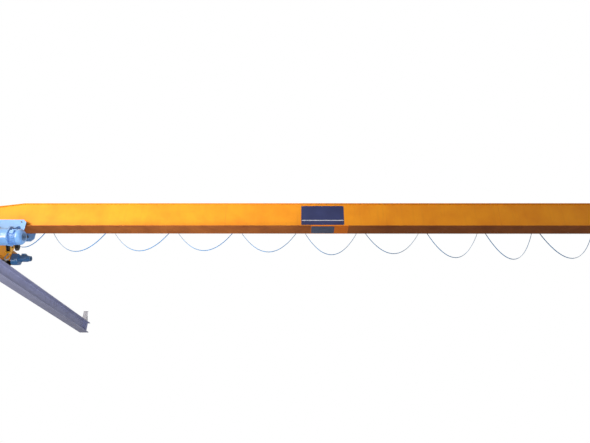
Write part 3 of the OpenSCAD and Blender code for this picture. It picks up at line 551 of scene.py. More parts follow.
@dataclass
class Shape:
    """A mesh under construction, with the calls that add solids to it.

    Attributes:
        bm: the mesh.
    """

    bm: bmesh.types.BMesh = field(default_factory=bmesh.new)

    def slab(self, outline: Section, axis: Axis, start: float, end: float) -> "Shape":
        """Adds a flat outline extruded along an axis.

        Args:
            outline: corners: (y, z) along X, (x, z) along Y and (x, y) along Z.
            axis: the axis of extrusion.
            start: where it starts on the axis.
            end: where it ends on the axis.

        Returns:
            This shape.
        """
        def corner(a: float, b: float, along: float) -> Place:
            """A corner of the outline, given by its two places and its place on the axis."""
            return {Axis.X: (along, a, b), Axis.Y: (a, along, b), Axis.Z: (a, b, along)}[axis]

        rows = [[self.bm.verts.new(corner(a, b, s)) for a, b in outline] for s in (start, end)]
        n = len(outline)
        made = [self.bm.faces.new(rows[0]), self.bm.faces.new(rows[1])]
        made += [self.bm.faces.new((rows[0][i], rows[0][(i + 1) % n], rows[1][(i + 1) % n],
                                    rows[1][i])) for i in range(n)]
        bmesh.ops.recalc_face_normals(self.bm, faces=made)
        return self

    def block(self, low: Sequence[float], high: Sequence[float]) -> "Shape":
        """Adds a box between its lowest and its highest corner."""
        outline = [(low[0], low[1]), (high[0], low[1]), (high[0], high[1]), (low[0], high[1])]
        return self.slab(outline, Axis.Z, low[2], high[2])

    def turned(
        self, profile: Section, centre: Sequence[float] = FOOT, axis: Axis = Axis.Z,
        steps: int = 48, closed: bool = False,
    ) -> "Shape":
        """Adds a turned solid.

        Args:
            profile: (radius, place along the axis) pairs; a radius of 0 closes a pole.
            centre: the point that the axis passes through.
            axis: the axis of turning.
            steps: number of steps round.
            closed: whether the profile is a ring, so that it joins its own start.

        Returns:
            This shape.
        """
        place = Matrix.Translation(Vector(centre)) @ axis.turn()
        rings: list[list[bmesh.types.BMVert]] = []
        for r, s in profile:
            count = 1 if r <= 1e-9 else steps
            rings.append([
                self.bm.verts.new(place @ Vector((r * math.cos(TAU * k / steps),
                                                  r * math.sin(TAU * k / steps), s)))
                for k in range(count)
            ])
        if closed:
            rings.append(rings[0])
        made = []
        for one, two in zip(rings, rings[1:]):
            for k in range(steps):
                j = (k + 1) % steps
                loop = [one[k % len(one)], one[j % len(one)], two[j % len(two)],
                        two[k % len(two)]]
                corners = list(dict.fromkeys(loop))
                if len(corners) > 2:
                    made.append(self.bm.faces.new(corners))
        bmesh.ops.recalc_face_normals(self.bm, faces=made)
        return self

    def loft(self, rows: Sequence[Sequence[Vector]]) -> "Shape":
        """Adds a solid that runs through closed rings.

        Args:
            rows: the rings, all with the same number of corners.

        Returns:
            This shape.
        """
        rings = [[self.bm.verts.new(corner) for corner in row] for row in rows]
        sides = len(rings[0])
        made = [self.bm.faces.new(rings[0]), self.bm.faces.new(list(reversed(rings[-1])))]
        for one, two in zip(rings, rings[1:]):
            made += [self.bm.faces.new((one[k], two[k], two[(k + 1) % sides],
                                        one[(k + 1) % sides])) for k in range(sides)]
        bmesh.ops.recalc_face_normals(self.bm, faces=made)
        return self

    def sweep(
        self, path: Sequence[Vector], section: Section | Callable[[float], Section],
        across: Vector | None = None,
    ) -> "Shape":
        """Adds a solid that follows a path.

        Args:
            path: the points of its centre line.
            section: the cross-section's corners, or what gives them at a distance along the
                path.
            across: direction of the section's first axis, or None for one that is carried
                along without twist.

        Returns:
            This shape.
        """
        count = len(path)
        ways = [(path[min(i + 1, count - 1)] - path[max(i - 1, 0)]).normalized()
                for i in range(count)]
        side = across or ways[0].orthogonal().normalized()
        run, rows = 0.0, []
        for i, (point, way) in enumerate(zip(path, ways)):
            run += (point - path[i - 1]).length if i else 0.0
            side = (across if across else side - way * side.dot(way)).normalized()
            up = way.cross(side).normalized()
            corners = section(run) if callable(section) else section
            rows.append([point + side * a + up * b for a, b in corners])
        return self.loft(rows)

    def done(
        self, name: str, body: Body | str | None, finish: Finish, bevel_mm: float = 1.5,
        angle: float = 32.0,
    ) -> bpy.types.Object:
        """Makes the finished piece: softened edges, smooth shading, finish and body.

        Args:
            name: the piece's name.
            body: the body that it rides on, or None for a piece on no body.
            finish: its finish.
            bevel_mm: width of the softened edges, or 0 for none.
            angle: edges sharper than this many degrees are softened.

        Returns:
            The piece.
        """
        steps, smooth_below = 2, 60.0
        mesh = bpy.data.meshes.new(name + "_raw")
        self.bm.to_mesh(mesh)
        self.bm.free()
        raw = bpy.data.objects.new(name + "_raw", mesh)
        bpy.context.scene.collection.objects.link(raw)
        if bevel_mm > 0:
            bevel = raw.modifiers.new("soft_edges", "BEVEL")
            bevel.width = bevel_mm * MM
            bevel.segments = steps
            bevel.limit_method = "ANGLE"
            bevel.angle_limit = math.radians(angle)
            bevel.use_clamp_overlap = True
        mesh.polygons.foreach_set("use_smooth", [True] * len(mesh.polygons))
        mesh.set_sharp_from_angle(angle=math.radians(smooth_below if bevel_mm > 0 else angle))
        weight = raw.modifiers.new("face_weight", "WEIGHTED_NORMAL")
        weight.keep_sharp = True
        made = bpy.data.meshes.new_from_object(
            raw.evaluated_get(bpy.context.evaluated_depsgraph_get()))
        bpy.data.objects.remove(raw)
        made.materials.clear()
        made.materials.append(finish.material())
        return stand(made, name, body)


def stand(mesh: bpy.types.Mesh, name: str, body: Body | str | None) -> bpy.types.Object:
    """Makes a piece of a finished mesh and sets it on its body.

    Args:
        mesh: the finished mesh.
        name: the piece's name.
        body: the body that it rides on, or None for a piece on no body.

    Returns:
        The piece.
    """
    mesh.name = name
    piece = bpy.data.objects.new(name, mesh)
    bpy.context.scene.collection.objects.link(piece)
    if body is not None:
        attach(piece, body.value if isinstance(body, Body) else body)
    return piece


def dress(node: str, finish: Finish) -> None:
    """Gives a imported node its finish.

    Args:
        node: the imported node's name.
        finish: the finish.
    """
    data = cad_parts[node].data
    data.materials.clear()
    data.materials.append(finish.material())


def refined(node: str, body: Body | str, finish: Finish, bevel_mm: float = 2.0) -> None:
    """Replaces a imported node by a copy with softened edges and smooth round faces.

    Args:
        node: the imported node's name.
        body: the body that it rides on.
        finish: its finish.
        bevel_mm: width of the softened edges.
    """
    bm = bmesh.new()
    bm.from_mesh(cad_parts[node].data)
    bmesh.ops.remove_doubles(bm, verts=bm.verts, dist=WELD_GAP)
    bmesh.ops.dissolve_limit(bm, angle_limit=FLAT_ANGLE, verts=bm.verts, edges=bm.edges)
    piece = Shape(bm).done("fine_" + node, body, finish, bevel_mm)
    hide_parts(node)


@dataclass(frozen=True)
class Spot:
    """One place of a repeated piece.

    Attributes:
        at: where its foot stands.
        aim: the way that its top points.
    """

    at: Place
    aim: Place = UP


def grid(
    xs: Sequence[float], ys: Sequence[float], zs: Sequence[float], aim: Place = UP
) -> list[Spot]:
    """Spots wherever the places in X, Y and Z cross, their tops pointing along aim."""
    return [Spot((x, y, z), aim) for x in xs for y in ys for z in zs]


def ring_spots(centre: Place, radii: Flat, count: int, side: int = 0) -> list[Spot]:
    """Spots on a ring about an X axis, the first half a step from level.

    Args:
        centre: the ring's centre.
        radii: its radii in Y and Z.
        count: number of spots.
        side: 1 or -1 where the tops point along X, or 0 where they point outwards.

    Returns:
        The spots.
    """
    spots = []
    for k in range(count):
        angle = TAU * (k + 0.5) / count
        y, z = math.cos(angle), math.sin(angle)
        at = (centre[0], centre[1] + radii[0] * y, centre[2] + radii[1] * z)
        spots.append(Spot(at, (float(side), 0.0, 0.0) if side else (0.0, y, z)))
    return spots


@dataclass
class Repeater:
    """Sets a template on many spots with Geometry Nodes.

    Attributes:
        name: the node tree's name.
        seed: fixed seed of the random turn.
    """

    name: str = "set_on_spots"
    seed: int = 11

    def tree(self) -> Tree:
        """The node tree, built once: points in, templates out as real faces.

        Returns:
            The tree.
        """
        made = bpy.data.node_groups.get(self.name)
        if made is not None:
            return made
        made = bpy.data.node_groups.new(self.name, "GeometryNodeTree")
        face = made.interface
        for label, kind in (("Spots", "NodeSocketGeometry"), ("Template", "NodeSocketObject"),
                            ("Finish", "NodeSocketMaterial"), ("Size", "NodeSocketFloat"),
                            ("Random Turn", "NodeSocketFloat")):
            face.new_socket(name=label, in_out="INPUT", socket_type=kind)
        face.new_socket(name="Result", in_out="OUTPUT", socket_type="NodeSocketGeometry")
        given = add_node(made, "NodeGroupInput").outputs
        aim = add_node(made, "GeometryNodeInputNamedAttribute",
                       {"data_type": "FLOAT_VECTOR", "Name": "aim"}).outputs[0]
        upright = add_node(made, "FunctionNodeAlignRotationToVector", {"axis": "Z"},
                           {"Vector": aim}).outputs[0]
        turn = add_node(made, "FunctionNodeRandomValue", {"data_type": "FLOAT", "Seed": self.seed},
                        {3: given["Random Turn"]}).outputs[1]
        spin = add_node(made, "FunctionNodeAxisAngleToRotation", {"Axis": (0.0, 0.0, 1.0)},
                        {"Angle": turn}).outputs[0]
        turned = add_node(made, "FunctionNodeRotateRotation", {"rotation_space": "LOCAL"},
                          {0: upright, 1: spin}).outputs[0]
        shape = add_node(made, "GeometryNodeObjectInfo", links={"Object": given["Template"]})
        spread = add_node(
            made, "GeometryNodeInstanceOnPoints",
            links={"Points": given["Spots"], "Instance": shape.outputs["Geometry"],
                   "Rotation": turned, "Scale": given["Size"]},
        ).outputs[0]
        real = add_node(made, "GeometryNodeRealizeInstances", links={0: spread}).outputs[0]
        dressed = add_node(made, "GeometryNodeSetMaterial",
                           links={"Geometry": real, "Material": given["Finish"]}).outputs[0]
        add_node(made, "NodeGroupOutput", links={0: dressed})
        return made

    def place(
        self, name: str, body: Body | str, template: Shape, finish: Finish,
        spots: Sequence[Spot], random_turn: float = 0.0, bevel_mm: float = 0.8,
    ) -> bpy.types.Object:
        """Sets the template on every spot and makes one piece of them.

        Args:
            name: the piece's name.
            body: the body that it rides on.
            template: the shape to repeat, standing on its origin with its top along +Z.
            finish: its finish.
            spots: the places.
            random_turn: the largest turn about the aim, in radians.
            bevel_mm: width of the template's softened edges.

        Returns:
            The piece.
        """
        pattern = template.done(name + "_template", None, finish, bevel_mm)
        mesh = bpy.data.meshes.new(name + "_spots")
        mesh.from_pydata([spot.at for spot in spots], [], [])
        aim = mesh.attributes.new("aim", "FLOAT_VECTOR", "POINT")
        aim.data.foreach_set("vector", [c for spot in spots for c in spot.aim])
        holder = bpy.data.objects.new(name + "_spots", mesh)
        bpy.context.scene.collection.objects.link(holder)
        modifier = holder.modifiers.new("repeat", "NODES")
        tree = self.tree()
        modifier.node_group = tree
        values = {"Template": pattern, "Finish": finish.material(), "Size": 1.0,
                  "Random Turn": random_turn}
        for item in tree.interface.items_tree:
            if item.item_type == "SOCKET" and item.name in values:
                modifier[item.identifier] = values[item.name]
        graph = bpy.context.evaluated_depsgraph_get()
        made = bpy.data.meshes.new_from_object(holder.evaluated_get(graph))
        bpy.data.objects.remove(holder)
        bpy.data.objects.remove(pattern)
        return stand(made, name, body)


REPEAT = Repeater()


def rod(radius: float, start: float, end: float) -> Section:
    """Profile of a plain cylinder of a radius, between two places on its axis."""
    return [(0, start), (radius, start), (radius, end), (0, end)]


def circle(radius: float, count: int, middle: Flat = (0.0, 0.0)) -> Section:
    """Corners of a round section, given its radius, their number and its middle."""
    angles = [TAU * k / count for k in range(count)]
    return [(middle[0] + radius * math.cos(a), middle[1] + radius * math.sin(a)) for a in angles]


def round_path(centre: Flat, before: Flat, start: Flat, end: Flat, steps: int) -> list[Flat]:
    """Points round a circle, for a rope that runs onto it.

    Args:
        centre: the circle's centre.
        before: a point of the rope ahead of the circle.
        start: the first point, which also gives the radius.
        end: the last point.
        steps: number of steps.

    Returns:
        The points.
    """
    a0 = math.atan2(start[1] - centre[1], start[0] - centre[0])
    a1 = math.atan2(end[1] - centre[1], end[0] - centre[0])
    r = math.hypot(start[0] - centre[0], start[1] - centre[1])
    way = (start[0] - before[0], start[1] - before[1])
    left_turn = -math.sin(a0) * way[0] + math.cos(a0) * way[1] > 0
    sweep = (a1 - a0) % TAU if left_turn else -((a0 - a1) % TAU)
    return [(centre[0] + r * math.cos(a0 + sweep * k / steps),
             centre[1] + r * math.sin(a0 + sweep * k / steps)) for k in range(steps + 1)]


def crossing(c1: Flat, r1: float, c2: Flat, r2: float, sign: int = 1) -> tuple[Flat, Flat]:
    """Ends of the straight rope from circle 1 to circle 2 that passes between their centres.

    Args:
        c1: centre of circle 1, as (y, z).
        r1: radius of circle 1.
        c2: centre of circle 2.
        r2: radius of circle 2.
        sign: 1 where circle 2 lies towards +Y, or -1 for the mirror image.

    Returns:
        The rope's point on circle 1 and its point on circle 2.
    """
    dy, dz = sign * (c2[0] - c1[0]), c2[1] - c1[1]
    turn = math.atan2(dz, dy) - math.asin((r1 + r2) / math.hypot(dy, dz)) + math.pi / 2
    ny, nz = sign * math.cos(turn), math.sin(turn)
    return (c1[0] + r1 * ny, c1[1] + r1 * nz), (c2[0] - r2 * ny, c2[1] - r2 * nz)


def hex_bolt(d: float) -> Shape:
    """A hexagon bolt head on its washer.

    Args:
        d: diameter of the thread.

    Returns:
        The bolt, on its origin.
    """
    washer, across, top = 0.18 * d, 0.92 * d, 0.7 * d
    head = [(0, washer), (across, washer), (across, washer + 0.6 * d),
            (0.82 * across, washer + top), (0, washer + top)]
    return Shape().turned(rod(1.05 * d, 0, washer), steps=20).turned(head, steps=6)


def round_screw(r: float) -> Shape:
    """A low round screw head of radius r, with a shallow dimple for its driver."""
    return Shape().turned([(0, 0), (r, 0), (0.95 * r, 0.25 * r), (0.7 * r, 0.45 * r),
                           (0.3 * r, 0.52 * r), (0.2 * r, 0.38 * r), (0, 0.36 * r)], steps=20)


def blank_gland() -> Shape:
    """A blanked cable gland.

    Returns:
        The gland, standing on its origin.
    """
    nut, r = 0.008, 0.013
    plug = [(0, nut), (r, nut), (0.0125, 0.02), (0.009, 0.026), (0, 0.026)]
    return Shape().turned(rod(0.016, 0, nut), steps=6).turned(plug, steps=20)


def bolts(
    name: str, body: Body | str, d: Thread, spots: Sequence[Spot], finish: Finish = BOLT
) -> bpy.types.Object:
    """Sets hexagon bolts of thread d on the spots, as one piece that rides on the body."""
    return REPEAT.place(name, body, hex_bolt(d), finish, spots, TAU, 0.4)


def measure(path: Sequence[Vector]) -> float:
    """Length of a path."""
    return sum((b - a).length for a, b in zip(path, path[1:]))


@dataclass(frozen=True)
class Lamp:
    """A square area lamp.

    Attributes:
        name: the lamp's name.
        place: where it stands.
        aim: the point it faces.
        size: side of the square.
        power: its power in watts.
        colour: its colour, sRGB hex.
        spread: angle of its beam.
    """

    name: str
    place: Place
    aim: Place
    size: float
    power: float
    colour: str
    spread: float = math.radians(100)

    def build(self) -> None:
        """Makes the lamp."""
        data = bpy.data.lights.new(self.name, "AREA")
        data.size = self.size
        data.spread = self.spread
        data.energy = self.power
        data.color = linear(self.colour)[:3]
        lamp = bpy.data.objects.new(self.name, data)
        lamp.location = self.place
        way = Vector(self.aim) - Vector(self.place)
        lamp.rotation_euler = way.to_track_quat("-Z", "Y").to_euler()
        bpy.context.scene.collection.objects.link(lamp)


@dataclass
class Studio:
    """Camera at the photograph's angle, soft lamps, a pale floor and a white surround.

    Attributes:
        eye: camera position.
        tilt: upward tilt, degrees.
        turn: turn to the left, degrees.
        roll: turn about the line of sight, degrees.
        lens: focal length in millimetres.
        sensor: width of the sensor in millimetres.
        reach: nearest and farthest that the camera sees.
        floor_z: height of the floor.
        floor_half: half the floor's side.
        floor_colour: colour of the floor in the light.
        floor_glow: share of the floor that the camera sees unlit and unshaded.
        glow_colour: colour of that share.
        ambient: level of the even light.
        ambient_colour: its colour.
        lamps: key from the front left, front fill, and low fill under the girder.
    """

    eye: Place = (-1.42, -12.6, -4.3)
    tilt: float = 26.7
    turn: float = 0.69
    roll: float = 0.33
    lens: float = 30.5
    sensor: float = 36.0
    reach: Flat = (0.1, 500.0)
    floor_z: float = -5.9
    floor_half: float = 60.0
    floor_colour: str = "#e9e7e3"
    floor_glow: float = 0.62
    glow_colour: str = "#f3f2f0"
    ambient: float = 0.35
    ambient_colour: str = "#f4f2ee"
    lamps: tuple[Lamp, ...] = (
        Lamp("key", (-14.0, -12.0, 1.0), (-6.0, -2.2, 1.0), 5.0, 720.0, "#fff4e4"),
        Lamp("front", (-5.0, -13.0, 3.0), (-2.0, -2.0, 1.0), 8.0, 110.0, "#fffaf2"),
        Lamp("low", (-3.5, -4.5, -5.2), (-7.0, -0.5, 0.5), 6.0, 240.0, "#f2f6ff"),
    )

    def make_camera(self) -> None:
        """Makes the camera and sets it as the scene's."""
        data = bpy.data.cameras.new("camera")
        data.lens = self.lens
        data.sensor_width = self.sensor
        data.clip_start, data.clip_end = self.reach
        camera = bpy.data.objects.new("camera", data)
        camera.location = self.eye
        camera.rotation_euler = (
            Matrix.Rotation(math.radians(self.turn), 3, "Z")
            @ Matrix.Rotation(math.radians(90 + self.tilt), 3, "X")
            @ Matrix.Rotation(math.radians(self.roll), 3, "Z")).to_euler()
        bpy.context.scene.collection.objects.link(camera)
        bpy.context.scene.camera = camera

    def make_world(self) -> None:
        """Even soft light, white to the camera, to glossy and to transmitted rays."""
        world = bpy.data.worlds.new("surround")
        world.use_nodes = True
        tree = world.node_tree
        tree.nodes.clear()
        rays = add_node(tree, "ShaderNodeLightPath").outputs
        seen = rays["Is Camera Ray"]
        for name in ("Is Glossy Ray", "Is Transmission Ray"):
            seen = add_node(tree, "ShaderNodeMath", {"operation": "MAXIMUM"},
                            {0: seen, 1: rays[name]}).outputs[0]
        soft = add_node(tree, "ShaderNodeBackground",
                        {"Color": linear(self.ambient_colour), "Strength": self.ambient})
        white = add_node(tree, "ShaderNodeBackground",
                         {"Color": linear("#ffffff"), "Strength": 1.0})
        mix = add_node(tree, "ShaderNodeMixShader",
                       links={0: seen, 1: soft.outputs[0], 2: white.outputs[0]})
        add_node(tree, "ShaderNodeOutputWorld", links={"Surface": mix.outputs[0]})
        bpy.context.scene.world = world

    def make_floor(self) -> None:
        """A wide pale floor below the crane, which keeps the crane's shadow."""
        mesh = bpy.data.meshes.new("floor")
        r, z = self.floor_half, self.floor_z
        mesh.from_pydata([(-r, -r, z), (r, -r, z), (r, r, z), (-r, r, z)], [], [(0, 1, 2, 3)])
        floor = bpy.data.objects.new("floor", mesh)
        bpy.context.scene.collection.objects.link(floor)
        paint = bpy.data.materials.new("pale_floor")
        paint.use_nodes = True
        tree = paint.node_tree
        tree.nodes.clear()
        matt = add_node(tree, "ShaderNodeBsdfDiffuse", {"Color": linear(self.floor_colour)})
        pale = add_node(tree, "ShaderNodeEmission", {"Color": linear(self.glow_colour)})
        seen = add_node(tree, "ShaderNodeLightPath").outputs["Is Camera Ray"]
        share = add_node(tree, "ShaderNodeMath", {"operation": "MULTIPLY", 1: self.floor_glow},
                         {0: seen}).outputs[0]
        mix = add_node(tree, "ShaderNodeMixShader",
                       links={0: share, 1: matt.outputs[0], 2: pale.outputs[0]})
        add_node(tree, "ShaderNodeOutputMaterial", links={"Surface": mix.outputs[0]})
        mesh.materials.append(paint)

    def build(self) -> None:
        """Makes the whole studio but for the camera."""
        bpy.context.scene.view_settings.view_transform = "Standard"
        self.make_world()
        self.make_floor()
        for lamp in self.lamps:
            lamp.build()


@dataclass
class ControlPanel:
    """The control panel behind the girder: case, door, hinges, latches and glands.

    Attributes:
        door_inset: case above and below the door.
        hinge_x: hinges from the left side.
        latch_x: latches from the right side.
        hinge_in: hinges from the door's ends.
        latch_in: latches from the door's ends.
        glands_x: blanked glands from the left side.
        gland_rise: glands' face below the door.
        bolt_x: frame bolts from the sides.
        bolt_in: frame bolts from the top and bottom.
        bolt_y: frame bolts from the case's front.
    """

    door_inset: float = 0.045
    hinge_x: float = 0.028
    latch_x: float = 0.045
    hinge_in: float = 0.03
    latch_in: float = 0.05
    glands_x: tuple[float, ...] = (0.10, 0.16, 0.22, 0.28, 0.34, 0.40)
    gland_rise: float = 0.015
    bolt_x: float = 0.08
    bolt_in: float = 0.014
    bolt_y: float = 0.006

    def hinge(self) -> Shape:
        """A door hinge: its leaf and its knuckle, standing on the door.

        Returns:
            The hinge.
        """
        half, leaf = 0.022, 0.014
        return (Shape().turned(rod(0.006, -half, half), (0, 0, 0.004), Axis.Y, 20)
                .block((-leaf, -half, 0.0), (leaf, half, 0.003)))

    def latch(self) -> Shape:
        """A quarter-turn latch with the ridge for its key.

        Returns:
            The latch.
        """
        r, top = 0.013, 0.007
        return (Shape().turned([(0, 0), (r, 0), (r, 0.004), (0.010, top), (0, top)], steps=28)
                .block((-0.0015, -0.007, top), (0.0015, 0.007, 0.008)))

    def build(self) -> None:
        """Makes the panel's looks."""
        refined("control_panel", Body.BRIDGE, POWDER_GREY, 2.0)
        low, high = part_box("control_panel")
        z0, z1, rear = low[2] + self.door_inset, high[2] - self.door_inset, (high[1],)
        spots = grid((low[0] + self.hinge_x,), rear, (z0 + self.hinge_in, z1 - self.hinge_in),
                     REAR)
        REPEAT.place("panel_hinges", Body.BRIDGE, self.hinge(), ZINC, spots, 0.0, 0.5)
        spots = grid((high[0] - self.latch_x,), rear, (z0 + self.latch_in, z1 - self.latch_in),
                     REAR)
        REPEAT.place("panel_latches", Body.BRIDGE, self.latch(), DARK_PLASTIC, spots, 0.0, 0.4)
        spots = grid([low[0] + x for x in self.glands_x], ((low[1] + high[1]) / 2,),
                     (z0 - self.gland_rise,), DOWN)
        REPEAT.place("panel_glands", Body.BRIDGE, blank_gland(), DARK_PLASTIC, spots)
        spots = grid((low[0] + self.bolt_x, high[0] - self.bolt_x), (low[1] + self.bolt_y,),
                     (low[2] + self.bolt_in, high[2] - self.bolt_in), REAR)
        bolts("panel_frame_bolts", Body.BRIDGE, Thread.M10, spots)


@dataclass
class Festoon:
    """The flat cable in loops, its carriers, track fittings and feed box.

    Attributes:
        tow_x: the cable's clamp on the hoist's tow arm.
        feed_x: the cable's clamp at the feed box.
        clamp_z: height of both clamps.
        clamp_run: the cable's run out of a clamp, along and up.
        saddle_z: centre height of the saddles.
        bend_r: radius of the cable's middle over a saddle.
        width: width of the flat cable.
        thick: thickness of the flat cable.
        cores: number of cores that show as ridges.
        valley: thickness between ridges, as a share of the whole.
        travel: the hoist's travel; not used.
        leave: angle at which the cable leaves a saddle.
        grip: points of a loop that stay with the saddle.
        shares: places of the carriers between the clamps.
        lows: lowest height of each loop.
        nut_rise: carriers' nuts above the clamps.
        nut_side: carriers' nuts from the cable's middle.
        relief_reach: length of a strain relief.
        relief_wall: its rubber's thickness at the clamp.
        rib: height of its ribs.
        rib_pitch: width of a rib.
        lid_x: feed box from the cable's clamp.
        lid_y: feed box's face from the cable.
        lid_in: margin round the lid.
        lid_thick: thickness of the lid.
        screw_in: lid's screws from the box's edges.
        glands_x: blanked glands along the feed box.
        arms: number of track arms.
        arm_end: first arm's middle from the arms' end.
        arm_bolts: an arm's bolts from its middle, and from its edges.
        foot_thick: thickness of an arm's foot.
    """

    tow_x: float = -8.6
    feed_x: float = 8.5
    clamp_z: float = 0.9663
    clamp_run: Section = ((0.0, 0.0), (0.020, -0.001), (0.045, -0.008), (0.065, -0.024))
    saddle_z: float = 0.9163
    bend_r: float = 0.0805
    width: float = 0.030
    thick: float = 0.008
    cores: int = 5
    valley: float = 0.72
    travel: float = 14.5
    leave: float = math.radians(58)
    grip: int = 2
    shares: tuple[float, ...] = (0.0617, 0.1494, 0.2398, 0.3302, 0.4205, 0.5055, 0.5932,
                                 0.6755, 0.7516, 0.8366, 0.9190)
    lows: tuple[float, ...] = (0.520, 0.410, 0.425, 0.435, 0.400, 0.330, 0.360, 0.260, 0.220,
                               0.245, 0.290, 0.420)
    nut_rise: float = 0.0393
    nut_side: float = 0.022
    relief_reach: float = 0.060
    relief_wall: float = 0.007
    rib: float = 0.0012
    rib_pitch: float = 0.006
    lid_x: float = 0.04
    lid_y: float = 0.075
    lid_in: float = 0.008
    lid_thick: float = 0.006
    screw_in: float = 0.022
    glands_x: tuple[float, ...] = (0.06, 0.11, 0.16)
    arms: int = 10
    arm_end: float = 0.045
    arm_bolts: Flat = (0.03, 0.02)
    foot_thick: float = 0.006

    def carrier_x(self, i: int) -> float:
        """Place of carrier i along the girder."""
        return self.tow_x + self.shares[i] * (self.feed_x - self.tow_x)

    def bend(self, i: int, angle: float) -> Flat:
        """A point of the cable over saddle i, at an angle from straight up."""
        return (self.carrier_x(i) + self.bend_r * math.sin(angle),
                self.saddle_z + self.bend_r * math.cos(angle))

    def lift(self, flat: Section) -> list[Vector]:
        """Points given as (x, z) on the cable's own plane behind the girder."""
        return [Vector((x, L.festoon_y, z)) for x, z in flat]

    def runs(self) -> tuple[list[list[Vector]], list[list[Vector]]]:
        """Splits the cable where a loop hangs free of what holds it.

        Returns:
            The held runs (hoist's clamp, each saddle, feed clamp) and the loops between them,
            all from the hoist towards the feed.
        """
        clamp, last, steps = self.clamp_run, len(self.lows) - 1, 5
        held = [[(self.tow_x + a, self.clamp_z + b) for a, b in clamp]]
        loops = []
        for i, low in enumerate(self.lows):
            stop = (self.bend(i, -self.leave) if i < last
                    else (self.feed_x - clamp[-1][0], self.clamp_z + clamp[-1][1]))
            hang = self.loop(held[-1][-1], stop, low)
            first, end = (self.grip if i else 0), len(hang) - 1 - (self.grip if i < last else 0)
            held[-1] += hang[1:first + 1]
            loops.append(hang[first:end + 1])
            if i < last:
                held.append(hang[end:-1] + [self.bend(i, self.leave * k / steps)
                                            for k in range(-steps, steps + 1)])
        held.append([(self.feed_x - a, self.clamp_z + b) for a, b in reversed(clamp)])
        return [self.lift(run) for run in held], [self.lift(run) for run in loops]

    def loop(self, start: Flat, stop: Flat, low: float) -> list[Flat]:
        """One hanging loop.

        Args:
            start: where the loop leaves the left saddle.
            stop: where it meets the right saddle.
            low: its lowest height.

        Returns:
            Points from start to stop, both included.
        """
        steps, middle, half = 40, (start[0] + stop[0]) / 2, (stop[0] - start[0]) / 2
        places = [-math.cos(math.pi * k / steps) for k in range(steps + 1)]
        return [(middle + u * half, low + ((start if u < 0 else stop)[1] - low) * u * u)
                for u in places]

    def ribbon(self) -> list[Flat]:
        """The flat cable's section: rounded edges and a ridge over each core.

        Returns:
            The section's corners.
        """
        half, thick, steps = self.width / 2, self.thick / 2, self.cores * 4
        top = []
        for k in range(1, steps):
            u = -1 + 2 * k / steps
            rise = abs(math.sin(math.pi * self.cores * (u + 1) / 2))
            top.append((u * (half - thick * 0.4),
                        thick * (self.valley + (1 - self.valley) * rise)))
        return [(-half, 0.0), *top, (half, 0.0), *((a, -b) for a, b in reversed(top))]

    def make_cable(self) -> None:
        """Makes the cable: runs that ride with what holds them, and the loops between them."""
        held, loops = self.runs()
        bodies = ["hoist", *(f"carrier_{i + 1:02d}" for i in range(len(self.shares))), "bridge"]
        names = [(f"cable_held_{i:02d}", run, bodies[i]) for i, run in enumerate(held)]
        names += [(f"cable_loop_{i + 1:02d}", run, bodies[i + 1]) for i, run in enumerate(loops)]
        pieces, ribbon = [], self.ribbon()
        for name, run, body in names:
            piece = Shape().sweep(run, ribbon, Vector(REAR)).done(name, body, SHEATH, 0.0, 50.0)
            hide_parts("festoon_cable")
            pieces.append(piece)
        for i, (run, piece) in enumerate(zip(loops, pieces[len(held):])):
            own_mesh(piece)
        LOG.info("cable length %.2f m", sum(measure(run) for run in held + loops))
        self.make_relief("cable_relief_feed", Body.BRIDGE, held[-1][::-1])
        self.make_relief("cable_relief_tow", Body.HOIST, held[0])

    def make_carriers(self) -> None:
        """Each carrier's softened edges, its finish and the nuts of its cable clamp."""
        z = self.clamp_z + self.nut_rise
        rows = [L.festoon_y + side * self.nut_side for side in SIDES]
        for i in range(len(self.shares)):
            body = f"carrier_{i + 1:02d}"
            refined(f"cable_{body}", body, DARK_ZINC, 0.8)
            bolts(f"{body}_nuts", body, Thread.M8, grid((self.carrier_x(i),), rows, (z,)),
                  CHROMATE)

    def make_relief(self, name: str, body: Body, path: Sequence[Vector]) -> None:
        """A tapered rubber strain relief where the cable leaves a clamp.

        Args:
            name: the piece's name.
            body: the body that it rides on.
            path: the cable's run from the clamp.
        """

        def along(run: float) -> Vector:
            """The point of the path at a distance from its start.

            Args:
                run: the distance.

            Returns:
                The point.
            """
            for a, b in zip(path, path[1:]):
                if run <= (b - a).length:
                    return a.lerp(b, run / (b - a).length)
                run -= (b - a).length
            return path[-1]

        def section(run: float) -> list[Flat]:
            """The relief's flat section, ribbed and thinner away from the clamp.

            Args:
                run: distance from the clamp.

            Returns:
                The section's corners.
            """
            rib = self.rib if int(run / self.rib_pitch) % 2 else 0.0
            grow = self.relief_wall * max(0.0, 1 - run / self.relief_reach) + rib
            half, thick, corners = self.width / 2 + grow, self.thick / 2 + grow, 24
            turn = [(math.cos(a), math.sin(a)) for a in (TAU * k / corners
                                                         for k in range(corners))]
            return [(half * math.copysign(abs(c) ** 0.5, c),
                     thick * math.copysign(abs(s) ** 0.5, s)) for c, s in turn]

        steps = 30
        points = [along(self.relief_reach * k / steps) for k in range(steps + 1)]
        Shape().sweep(points, section, Vector(REAR)).done(name, body, GROMMET, 0.0, 50.0)

